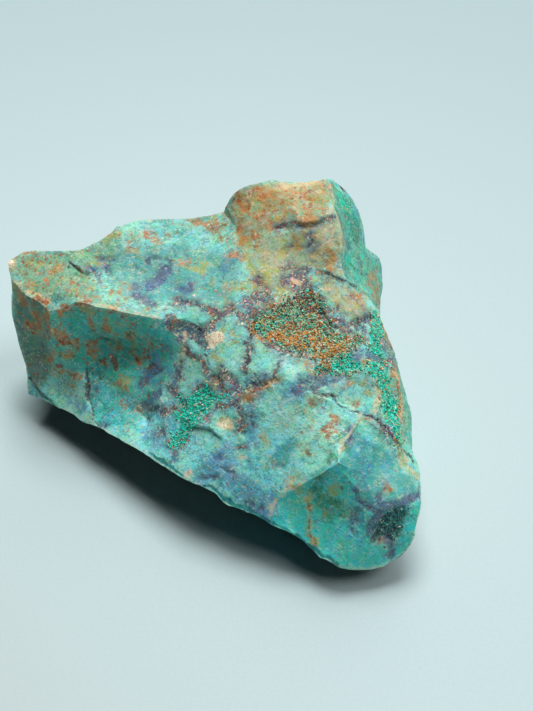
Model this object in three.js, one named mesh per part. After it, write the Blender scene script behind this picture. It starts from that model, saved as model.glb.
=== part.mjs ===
// A palm-sized piece of broken shattuckite rock, lying on its flattest side.
// Millimetres, +Z up, with the long undercut edge along the front (-Y) and the summit at the back right.
// The stone is a closed cage of break faces. Each face is meshed finely, its scars are hollowed
// and the whole skin is roughened, while the edges where breaks meet stay sharp.
import * as THREE from "three";

const LONGEST_EDGE = 4; // of a finished triangle
const CRISP_ANGLE = 24; // degrees: breaks that meet at more than this keep a sharp edge
const RELAX_PASSES = 7; // how far the gentle edges inside a break are rounded
const RELAX_STEP = 0.55;
const CRISP_STEP = 0.18; // sharp edges are only eased along their own line
const FLAT_BORDER = 7; // height over which the roughness fades out towards the resting face
const SWELLS = [
  // lumpiness of the skin: height of a swell and the distance between two of them
  { height: 0.7, size: 24 },
  { height: 0.45, size: 11 },
  { height: 0.25, size: 5.5 },
];
const SCALLOPS = [
  // shallow chips with sharp rims: depth and the distance between two of them
  { depth: 2.4, size: 20 },
  { depth: 1.1, size: 9 },
];

// Corners where breaks meet. The letter is the ring they lie on, numbered along it.
const corners = {
  // A: back rim of the low shoulder, from the left tip to the notch beside the summit
  A1: [-70.5, 20, 41.5],
  A2: [-66.5, 23.5, 42.5],
  A3: [-56, 22, 44.5],
  A4: [-47.5, 23.5, 46],
  A5: [-40.5, 27.5, 47.5],
  A6: [-36, 29.5, 48],
  A7: [-24, 28.5, 49],
  A8: [-18, 29.5, 50],
  A9: [-11.5, 29, 51],
  // B: rim of the summit block, round to its right-hand shoulder
  B1: [-11, 29, 53],
  B2: [-10.5, 30.5, 56],
  B3: [-6, 31.5, 58],
  B4: [1, 33, 58.5],
  B5: [9, 33, 59.5],
  B6: [15, 34.5, 60.5],
  B7: [20.5, 33.5, 58.5],
  B8: [24.5, 31.5, 55],
  B9: [26.5, 30, 47],
  B10: [27.5, 27.5, 40],
  // C: knob on the right flank
  C1: [32.5, 31, 34],
  C2: [33.5, 25.5, 28],
  C3: [32, 18.5, 26],
  // D: widest line of the right flank
  D1: [34, 9.5, 26],
  D2: [36, 0, 24],
  D3: [38, -8, 22],
  D4: [39.5, -16, 20.5],
  D5: [38, -24, 21],
  D6: [36.5, -32.5, 22],
  // F: outline of the front lobe, then the thin undercut edge back to the left end
  F1: [38, -37, 20.5],
  F2: [38.5, -41.5, 18.5],
  F3: [37.5, -46, 16],
  F4: [37, -49.5, 12.5],
  F5: [34.5, -53, 8],
  F6: [29.5, -54, 6],
  F7: [22, -55.5, 6],
  F8: [16.5, -56, 8],
  F9: [9, -50.5, 12],
  F10: [1, -46.5, 15],
  F11: [-9, -42, 16],
  F12: [-16.5, -37.5, 16.5],
  F13: [-21.5, -34, 16.5],
  F14: [-32.5, -25.5, 15.5],
  F15: [-45, -16, 13.5],
  F16: [-56.5, -6.5, 11],
  F17: [-67, 0.5, 9],
  // G: left end, upwards from the lip to the tip
  G2: [-67.5, 6, 21],
  G3: [-69, 9.5, 31],
  G4: [-69.5, 16, 38],
  // E: sharp brow over the dark front scar, then the small riser that carries it into the main face
  E0: [-67.5, 13.5, 38.5],
  E1: [-65, 9.5, 38],
  E2: [-59, 6, 39],
  E3: [-57, 3, 38],
  E4: [-50, 4.5, 40.5],
  E5: [-42, 2.5, 40],
  E6: [-32.5, -0.5, 40],
  E7: [-26, -2, 39.5],
  E8: [-20.5, -2.5, 41],
  E9: [-16, -5.5, 40.5],
  E10: [-13.5, -9, 39.5],
  // H: foot of the dark scar, where the lip begins
  H1: [-67, 4.5, 16],
  H2: [-57, 1, 17.5],
  H3: [-48.5, -1, 20],
  H4: [-41.5, -6.5, 19.5],
  H5: [-35, -13, 18.5],
  H6: [-31, -16.5, 17.5],
  // M: blunt ridge between the dark scar and the main face
  M1: [-21, -8, 35],
  M2: [-21.5, -11.5, 31],
  M3: [-25, -16.5, 25.5],
  // N: swells of the main face, and the ridge down to the front lobe
  N2: [-7, 0.5, 44.5],
  N3: [-4.5, 16, 50],
  N4: [3.5, -1, 46],
  N5: [8.5, -11.5, 42],
  N6: [8, -26.5, 36],
  N7: [-4, -31.5, 27],
  N8: [17, -41.5, 31],
  N9: [19, -35.5, 32],
  N10: [23, -29, 34],
  N11: [6, -43, 22],
  N12: [1.5, -44, 18],
  N13: [10, -42.5, 25.5],
  N14: [20.5, -3, 47],
  N15: [14, -2.5, 45],
  // T: edge between the top and the right wall
  T1: [16.5, 30, 60.5],
  T2: [16.5, 23.5, 59],
  T3: [19, 18, 57],
  T4: [19.5, 11.5, 53.5],
  T5: [19.5, 5.5, 48.5],
  T6: [24.5, 3.5, 44.5],
  T7: [29, 2.5, 39.5],
  T7b: [27.5, -6.5, 40.5],
  T8: [20.5, -13.5, 42],
  T9: [26, -20, 38],
  T10: [28.5, -25.5, 35],
  T11: [31, -33.5, 29.5],
  // W: middle of the right wall
  W1: [22.5, 20, 51],
  W2: [23.5, 11.5, 46],
  W3: [30, -8, 37],
  W4: [33, -15.5, 31.5],
  W5: [34, -21.5, 27],
  W6: [35, -29.5, 23],
  // P: facets of the front lobe
  P0: [30.5, -35, 25.5],
  P1: [22.5, -44, 26.5],
  P2: [26.5, -48.5, 21.5],
  P3: [28.5, -51, 17],
  P4: [33.5, -45, 19.5],
  // K: waist of the back wall
  K0: [-69, 22, 24],
  K1: [-60, 32, 26],
  K2: [-42, 38, 24],
  K3: [-22, 41, 30],
  K4: [-2, 43, 34],
  K5: [14, 42, 38],
  K6: [27, 36, 26],
  // V: foot, just off the ground
  V1: [-62, 7, 4],
  V2: [-43, -3, 5],
  V3: [-24, -19, 6],
  V4: [-6, -31, 5],
  V5: [12, -43.5, 4],
  V6: [26, -50, 2.5],
  V7: [33, -36, 5],
  V8: [33, -14, 4],
  V9: [34, 6, 5],
  V10: [33, 24, 6],
  V11: [24, 38, 4],
  V12: [4, 44, 3],
  V13: [-20, 43, 4],
  V14: [-44, 38, 3],
  V15: [-60, 27, 5],
  // Z: flat resting face
  Z1: [-38, 16, 0],
  Z2: [-26, 4, 0],
  Z3: [-8, -9, 0],
  Z4: [8, -20, 0],
  Z5: [20, -22, 0],
  Z6: [25, -4, 0],
  Z7: [24, 16, 0],
  Z8: [10, 28, 0],
  Z9: [-16, 31, 0],
  Z10: [-34, 27, 0],
};

// Break faces as loops of corners, anticlockwise from outside. hollow is how deep a scar is
// scooped (negative swells it), reached this far in from the edges of the group of that name.
const breaks = {
  "shoulder top": {
    loops: ["A1 G4 E0 E1 E2 E3 E4 A4 A3 A2", "E4 E5 E6 A7 A6 A5 A4", "E6 E7 E8 N2 N3 A9 A8 A7", "E8 E9 E10 N2"],
    hollow: 0.8,
    reach: 14,
  },
  "summit top": {
    loops: ["A9 N3 T4 T3 T2 T1 B6 B5 B4 B3 B2 B1", "N3 N2 N4 T5 T4"],
    hollow: 0,
    reach: 10,
  },
  "main face": {
    loops: [
      "N4 N5 N15",
      "N5 T8 N15",
      "N15 T8 N14",
      "N4 N15 T5",
      "N15 N14 T5",
      "T5 N14 T6",
      "T6 N14 T7b T7",
      "N14 T8 T7b",
      "N2 E10 N5 N4",
      "E10 M1 M2 M3 N7 N6 N5",
      "M3 H6 F14 F13 F12 F11 N7",
      "N7 F11 F10 N12 N11 N13 N8 N9 N10 N6",
      "N6 N10 T9 T8 N5",
    ],
    hollow: -0.6,
    reach: 16,
  },
  riser: { loops: ["E7 M1 E10 E9 E8"], hollow: 0.8, reach: 4 },
  "dark scar, left": { loops: ["G4 G3 G2 H1 H2 E3 E2 E1 E0"], hollow: 2.4, reach: 9 },
  "dark scar": {
    loops: ["E3 H2 H3 E5 E4", "H3 H4 H5 H6 M3 M2 M1 E7 E6 E5"],
    hollow: 3.6,
    reach: 12,
  },
  lip: { loops: ["H1 F17 F16 F15 H3 H2", "H3 F15 F14 H6 H5 H4"], hollow: 0.4, reach: 6 },
  "crusted edge": {
    loops: ["T8 T9 T10 W4 W3 T7b", "T9 N10 T11 W5 W4 T10"],
    hollow: 0,
    reach: 6,
  },
  "right wall": {
    loops: [
      "T7 T7b W3 D1 C3",
      "W3 W4 D3 D2 D1",
      "W4 W5 W6 D5 D4 D3",
      "W5 T11 W6",
      "W6 D6 D5",
      "D6 V7 V8 D4 D5",
      "D4 V8 V9 D2 D3",
      "D2 V9 C3 D1",
    ],
    hollow: 0,
    reach: 8,
  },
  "summit wall": {
    loops: [
      "T1 T2 T3 W1 B9 B8 B7 B6",
      "T3 T4 T5 W2 W1",
      "T5 T6 W2",
      "W1 W2 B10 B9",
      "W2 T6 T7 C3 C2 C1 B10",
    ],
    hollow: 1,
    reach: 9,
  },
  "lobe, right": {
    loops: ["N10 N9 N8 P1 P0 T11", "T11 P0 F1 D6 W6", "P0 P1 P2 P4", "P0 P4 F2 F1"],
    hollow: 0,
    reach: 8,
  },
  "lobe, front": {
    loops: [
      "N8 N13 N11 N12 F10 F9 F8 P3 P2 P1",
      "P3 F8 F7 F6 F5",
      "P2 P3 P4",
      "P3 F5 F4 P4",
      "P4 F4 F3 F2",
    ],
    hollow: 0.6,
    reach: 9,
  },
  "left end": { loops: ["G4 A1 K0 G3", "G3 K0 V15 V1 G2", "G2 V1 F17 H1"], hollow: 0.4, reach: 9 },
  undercut: {
    loops: [
      "F17 V1 V2 F16",
      "F16 V2 F15",
      "F15 V2 V3 F14",
      "F14 V3 F13",
      "F13 V3 V4 F12",
      "F12 V4 F11",
      "F11 V4 F10",
      "F10 V4 V5 F9",
      "F9 V5 F8",
      "F8 V5 V6 F6 F7",
      "F6 V6 V7 F4 F5",
      "F4 V7 D6 F1 F2 F3",
    ],
    hollow: 0.6,
    reach: 10,
  },
  "knob and right back": { loops: ["C3 V9 V10 C2", "C2 V10 K6 C1", "C1 K6 B10"], hollow: 0, reach: 6 },
  "summit back": {
    loops: ["B10 K6 K5 B8 B9", "B8 K5 B6 B7", "B6 K5 K4 B4 B5", "B4 K4 A9 B1 B2 B3"],
    hollow: -1.2,
    reach: 9,
  },
  "shoulder back": {
    loops: ["A9 K4 K3 A7 A8", "A7 K3 K2 A5 A6", "A5 K2 K1 A3 A4", "A3 K1 K0 A1 A2"],
    hollow: 2.2,
    reach: 9,
  },
  "lower back": {
    loops: ["K0 K1 V15", "K1 K2 V14 V15", "K2 K3 V13 V14", "K3 K4 V12 V13", "K4 K5 V12", "K5 K6 V11 V12", "K6 V10 V11"],
    hollow: 1.2,
    reach: 10,
  },
  foot: {
    loops: [
      "V2 V1 Z1 Z2",
      "V3 V2 Z2 Z3",
      "V4 V3 Z3",
      "V5 V4 Z3 Z4",
      "V6 V5 Z4 Z5",
      "V7 V6 Z5",
      "V8 V7 Z5 Z6",
      "V9 V8 Z6",
      "V10 V9 Z6 Z7",
      "V11 V10 Z7 Z8",
      "V12 V11 Z8",
      "V13 V12 Z8 Z9",
      "V14 V13 Z9 Z10",
      "V15 V14 Z10",
      "V1 V15 Z10 Z1",
    ],
    hollow: 0,
    reach: 6,
  },
  "resting face": { loops: ["Z2 Z1 Z10 Z9 Z8 Z7 Z6 Z5 Z4 Z3"], hollow: 0, reach: 6, level: true },
};

const edgeKey = (a, b) => (a < b ? `${a}_${b}` : `${b}_${a}`);
const smooth = (t) => t * t * (3 - 2 * t);
const clamp01 = (t) => Math.min(1, Math.max(0, t));

// Newell's normal of a loop, which needn't be quite flat.
function loopNormal(loop) {
  const normal = new THREE.Vector3();
  loop.forEach((p, i) => normal.add(new THREE.Vector3().crossVectors(p, loop[(i + 1) % loop.length])));
  return normal.normalize();
}

// Cuts a loop into triangles in the plane it comes nearest to.
function loopTriangles(loop) {
  const normal = loopNormal(loop);
  const side = new THREE.Vector3().subVectors(loop[1], loop[0]).projectOnPlane(normal).normalize();
  const up = new THREE.Vector3().crossVectors(normal, side);
  const flat = loop.map((p) => new THREE.Vector2(p.dot(side), p.dot(up)));
  return THREE.ShapeUtils.triangulateShape(flat, []);
}

// The cage: points, triangles as [a, b, c, break number], and the sharp edges.
function buildCage() {
  const names = Object.keys(corners);
  const points = names.map((name) => new THREE.Vector3(...corners[name]));
  const triangles = [];
  Object.values(breaks).forEach(({ loops }, number) => {
    for (const text of loops) {
      const ring = text.split(" ").map((name) => names.indexOf(name));
      for (const t of loopTriangles(ring.map((i) => points[i]))) {
        triangles.push([ring[t[0]], ring[t[1]], ring[t[2]], number]);
      }
    }
  });
  const mesh = { points, triangles, crisp: new Set() };
  markCrispEdges(mesh);
  return mesh;
}

function triangleNormal(points, [a, b, c]) {
  return new THREE.Triangle(points[a], points[b], points[c]).getNormal(new THREE.Vector3());
}

// Edge key to the indices of the two triangles beside it.
function edgeMap(triangles) {
  const map = new Map();
  triangles.forEach((t, index) => {
    for (let i = 0; i < 3; i++) {
      const key = edgeKey(t[i], t[(i + 1) % 3]);
      map.set(key, [...(map.get(key) ?? []), index]);
    }
  });
  return map;
}

// Edges between two breaks stay sharp where they meet at a marked angle, and all round a level face.
function markCrispEdges(mesh) {
  const kinds = Object.values(breaks);
  const normals = mesh.triangles.map((t) => triangleNormal(mesh.points, t));
  for (const [key, [first, second]] of edgeMap(mesh.triangles)) {
    const [one, other] = [mesh.triangles[first][3], mesh.triangles[second][3]];
    const angle = THREE.MathUtils.radToDeg(normals[first].angleTo(normals[second]));
    if (one !== other && (angle > CRISP_ANGLE || kinds[one].level || kinds[other].level)) {
      mesh.crisp.add(key);
    }
  }
}

// Splits every edge longer than the limit at its middle, once.
function splitLongEdges(mesh, limit) {
  const { points, crisp } = mesh;
  const middles = new Map();
  const middleOf = (a, b) => {
    if (points[a].distanceTo(points[b]) <= limit) return -1;
    const key = edgeKey(a, b);
    if (!middles.has(key)) {
      const m = points.push(new THREE.Vector3().lerpVectors(points[a], points[b], 0.5)) - 1;
      middles.set(key, m);
      if (crisp.delete(key)) crisp.add(edgeKey(a, m)).add(edgeKey(m, b));
    }
    return middles.get(key);
  };
  const made = [];
  for (const [a, b, c, kind] of mesh.triangles) {
    const [ab, bc, ca] = [middleOf(a, b), middleOf(b, c), middleOf(c, a)];
    const ring = [a, ab, b, bc, c, ca].filter((v) => v >= 0);
    made.push(...fan(ring, [ab, bc, ca].filter((v) => v >= 0), points, kind));
  }
  mesh.triangles = made;
  return middles.size;
}

// Triangles for a triangle with 0 to 3 of its edges split. ring goes round it, middles are the new points.
function fan(ring, middles, points, kind) {
  if (middles.length === 3) {
    const [a, ab, b, bc, c, ca] = ring;
    return [[a, ab, ca, kind], [ab, b, bc, kind], [ca, bc, c, kind], [ab, bc, ca, kind]];
  }
  if (middles.length === 0) return [[...ring, kind]];
  const start = ring.indexOf(middles[0]);
  const [m, p, q, r, s] = [0, 1, 2, 3, 4].map((i) => ring[(start + i) % ring.length]);
  if (middles.length === 1) return [[m, p, q, kind], [m, q, r, kind]];
  // Two middles: cut off their shared corner, then split the rest along its shorter diagonal.
  const [first, corner, second, far, near] = middles[1] === q ? [m, p, q, r, s] : [middles[1], s, m, p, q];
  const acrossFirst = points[first].distanceTo(points[far]);
  const acrossSecond = points[second].distanceTo(points[near]);
  const rest =
    acrossFirst < acrossSecond
      ? [[first, second, far, kind], [first, far, near, kind]]
      : [[first, second, near, kind], [second, far, near, kind]];
  return [[first, corner, second, kind], ...rest];
}

// Turns edges that lie across two flat triangles wherever the other diagonal gives better shapes.
function flipEdges(mesh) {
  const { points, triangles, crisp } = mesh;
  const map = edgeMap(triangles);
  const touched = new Set();
  const angleAt = (a, b, c) =>
    new THREE.Vector3().subVectors(points[a], points[b]).angleTo(new THREE.Vector3().subVectors(points[c], points[b]));
  for (const [key, [first, second]] of map) {
    if (crisp.has(key) || touched.has(first) || touched.has(second)) continue;
    const [one, two] = [triangles[first], triangles[second]];
    const [a, b] = key.split("_").map(Number);
    const c = one.slice(0, 3).find((v) => v !== a && v !== b);
    const d = two.slice(0, 3).find((v) => v !== a && v !== b);
    if (one[3] !== two[3] || map.has(edgeKey(c, d))) continue;
    if (angleAt(a, c, b) + angleAt(a, d, b) <= Math.PI + 0.05) continue;
    const forward = one[(one.indexOf(a) + 1) % 3] === b;
    const made = forward ? [[c, a, d, one[3]], [d, b, c, one[3]]] : [[c, d, a, one[3]], [d, c, b, one[3]]];
    const before = triangleNormal(points, one);
    if (made.some((t) => triangleNormal(points, t).dot(before) < 0.8)) continue;
    [triangles[first], triangles[second]] = made;
    touched.add(first).add(second);
    for (const neighbour of [[a, c], [a, d], [b, c], [b, d]]) {
      for (const index of map.get(edgeKey(...neighbour)) ?? []) touched.add(index);
    }
  }
  return touched.size;
}

// Eases each point towards its neighbours: sharp edges along their own line, corners not at all.
function relax(mesh, passes) {
  const { points } = mesh;
  const all = points.map(() => new Set());
  const sharp = points.map(() => new Set());
  for (const key of edgeMap(mesh.triangles).keys()) {
    const [a, b] = key.split("_").map(Number);
    all[a].add(b);
    all[b].add(a);
    if (mesh.crisp.has(key)) {
      sharp[a].add(b);
      sharp[b].add(a);
    }
  }
  for (let pass = 0; pass < passes; pass++) {
    const moved = points.map((p, i) => {
      const around = sharp[i].size === 0 ? all[i] : sharp[i].size === 2 ? sharp[i] : null;
      if (!around) return p.clone();
      const middle = new THREE.Vector3();
      for (const n of around) middle.addScaledVector(points[n], 1 / around.size);
      return p.clone().lerp(middle, sharp[i].size === 0 ? RELAX_STEP : CRISP_STEP);
    });
    moved.forEach((p, i) => points[i].copy(p));
  }
}

// Area-weighted normals at the points.
function pointNormals({ points, triangles }) {
  const normals = points.map(() => new THREE.Vector3());
  for (const [a, b, c] of triangles) {
    const area = new THREE.Vector3()
      .subVectors(points[b], points[a])
      .cross(new THREE.Vector3().subVectors(points[c], points[a]));
    for (const v of [a, b, c]) normals[v].add(area);
  }
  return normals.map((n) => n.normalize());
}

// Scoops each scar: deepest away from the edges of its group, along the group's own mean normal.
function hollowScars(mesh) {
  const { points, triangles } = mesh;
  const map = edgeMap(triangles);
  Object.values(breaks).forEach(({ hollow, reach }, number) => {
    if (!hollow) return;
    const inside = new Set();
    const border = new Set();
    const mean = new THREE.Vector3();
    for (const t of triangles.filter((t) => t[3] === number)) {
      mean.add(triangleNormal(points, t));
      for (const v of t.slice(0, 3)) inside.add(v);
    }
    for (const [key, [first, second]] of map) {
      if ((triangles[first][3] === number) !== (triangles[second][3] === number)) {
        for (const v of key.split("_").map(Number)) border.add(v);
      }
    }
    mean.normalize();
    const shifts = [...inside].map((v) => {
      const away = Math.min(...[...border].map((b) => points[v].distanceTo(points[b])));
      return [v, -hollow * smooth(clamp01(away / reach))];
    });
    for (const [v, shift] of shifts) points[v].addScaledVector(mean, shift);
  });
}

// A repeatable number from -1 to 1 for each point of a whole-number grid.
function gridValue(x, y, z) {
  let h = Math.imul(x, 374761393) ^ Math.imul(y, 668265263) ^ Math.imul(z, 2147483629);
  h = Math.imul(h ^ (h >>> 13), 1274126177);
  return ((h ^ (h >>> 16)) >>> 0) / 0x7fffffff - 1;
}

// Smooth noise: grid values blended between the eight grid points round a place.
function swell(place, size) {
  const p = place.clone().divideScalar(size);
  const base = p.clone().floor();
  const [u, v, w] = p.sub(base).toArray().map(smooth);
  let sum = 0;
  for (let i = 0; i < 8; i++) {
    const [dx, dy, dz] = [i & 1, (i >> 1) & 1, i >> 2];
    const weight = (dx ? u : 1 - u) * (dy ? v : 1 - v) * (dz ? w : 1 - w);
    sum += weight * gridValue(base.x + dx, base.y + dy, base.z + dz);
  }
  return sum;
}

// Chips: each jittered grid point carries a tilted bowl, and the lowest bowl at a place wins,
// so that neighbouring bowls meet in a sharp rim.
function scallop(place, size) {
  const p = place.clone().divideScalar(size);
  const base = p.clone().floor();
  let lowest = Infinity;
  for (let i = 0; i < 27; i++) {
    const cell = [base.x + (i % 3) - 1, base.y + (Math.floor(i / 3) % 3) - 1, base.z + Math.floor(i / 9) - 1];
    const random = (n) => gridValue(cell[0] + 57 * n, cell[1] - 31 * n, cell[2] + 83 * n);
    const away = new THREE.Vector3(...cell.map((c, axis) => p.getComponent(axis) - c - 0.5 - 0.45 * random(axis + 1)));
    const tilt = new THREE.Vector3(random(4), random(5), random(6));
    lowest = Math.min(lowest, away.lengthSq() * 0.9 + away.dot(tilt) * 0.5 + random(7) * 0.15);
  }
  return lowest - 0.25;
}

// Adds the swells and chips along the normals. The resting face stays flat.
function roughen(mesh) {
  const normals = pointNormals(mesh);
  const flat = new Set();
  const kinds = Object.values(breaks);
  for (const [a, b, c, kind] of mesh.triangles) {
    if (kinds[kind].level) [a, b, c].forEach((v) => flat.add(v));
  }
  mesh.points.forEach((p, i) => {
    if (flat.has(i)) return;
    const fade = smooth(clamp01(p.z / FLAT_BORDER));
    const lumps = SWELLS.reduce((sum, s) => sum + s.height * swell(p, s.size), 0);
    const chips = SCALLOPS.reduce((sum, s) => sum + s.depth * scallop(p, s.size), 0);
    p.addScaledVector(normals[i], (lumps + chips) * fade);
  });
}

function rockGeometry() {
  const mesh = buildCage();
  for (const limit of [24, 14, 9, 6, LONGEST_EDGE]) {
    while (splitLongEdges(mesh, limit) > 0);
    for (let i = 0; i < 6 && flipEdges(mesh) > 0; i++);
  }
  relax(mesh, RELAX_PASSES);
  for (let i = 0; i < 4 && flipEdges(mesh) > 0; i++);
  hollowScars(mesh);
  roughen(mesh);
  const geometry = new THREE.BufferGeometry().setFromPoints(mesh.points);
  geometry.setIndex(mesh.triangles.flatMap((t) => t.slice(0, 3)));
  geometry.computeVertexNormals();
  geometry.computeBoundingBox();
  const { min, max } = geometry.boundingBox;
  return geometry.translate(-(min.x + max.x) / 2, -(min.y + max.y) / 2, 0);
}

const stone = new THREE.MeshStandardMaterial({ color: 0x4f9c90, roughness: 0.7, metalness: 0 });
const rock = new THREE.Mesh(rockGeometry(), stone);
rock.name = "rock";

const specimen = new THREE.Group();
specimen.add(rock);

export default specimen;
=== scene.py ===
"""A broken piece of shattuckite rock on a pale studio floor."""

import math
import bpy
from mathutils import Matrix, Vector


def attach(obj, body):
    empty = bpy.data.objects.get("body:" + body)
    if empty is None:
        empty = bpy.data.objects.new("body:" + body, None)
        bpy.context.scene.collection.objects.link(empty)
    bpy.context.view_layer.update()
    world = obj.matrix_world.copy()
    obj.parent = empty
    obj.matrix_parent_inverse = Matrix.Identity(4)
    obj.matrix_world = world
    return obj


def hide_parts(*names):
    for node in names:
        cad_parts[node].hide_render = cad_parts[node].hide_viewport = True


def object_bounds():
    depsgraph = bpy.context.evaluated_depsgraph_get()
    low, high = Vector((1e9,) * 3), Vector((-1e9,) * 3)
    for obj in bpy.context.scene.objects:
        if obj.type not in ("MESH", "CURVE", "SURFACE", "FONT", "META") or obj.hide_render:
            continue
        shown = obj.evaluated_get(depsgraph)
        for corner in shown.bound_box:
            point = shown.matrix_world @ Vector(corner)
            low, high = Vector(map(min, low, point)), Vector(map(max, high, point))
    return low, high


bl_info = {
    "name": "Shattuckite specimen",
    "version": (1, 0, 0),
    "blender": (4, 5, 0),
    "location": "View3D > Sidebar > Specimen",
    "description": "Builds a broken shattuckite rock with its veins, rust and crystal crusts",
    "category": "Add Mesh",
}

import bmesh
import bpy
import numpy as np
from bpy.props import FloatProperty, FloatVectorProperty
from mathutils import Matrix, Vector, noise

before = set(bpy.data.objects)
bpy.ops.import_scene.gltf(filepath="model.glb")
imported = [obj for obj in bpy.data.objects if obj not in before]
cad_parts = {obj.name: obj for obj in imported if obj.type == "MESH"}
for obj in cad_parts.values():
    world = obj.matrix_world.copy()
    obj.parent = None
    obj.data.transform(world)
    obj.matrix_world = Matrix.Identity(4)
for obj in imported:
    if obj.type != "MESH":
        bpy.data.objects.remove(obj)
CAD_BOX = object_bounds()
MM = 0.001


def tone(red, green, blue):
    """A linear colour from screen values of 0 to 255."""
    return tuple(
        v / 12.92 if v <= 0.04045 else ((v + 0.055) / 1.055) ** 2.4
        for v in (red / 255, green / 255, blue / 255)
    )


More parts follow.
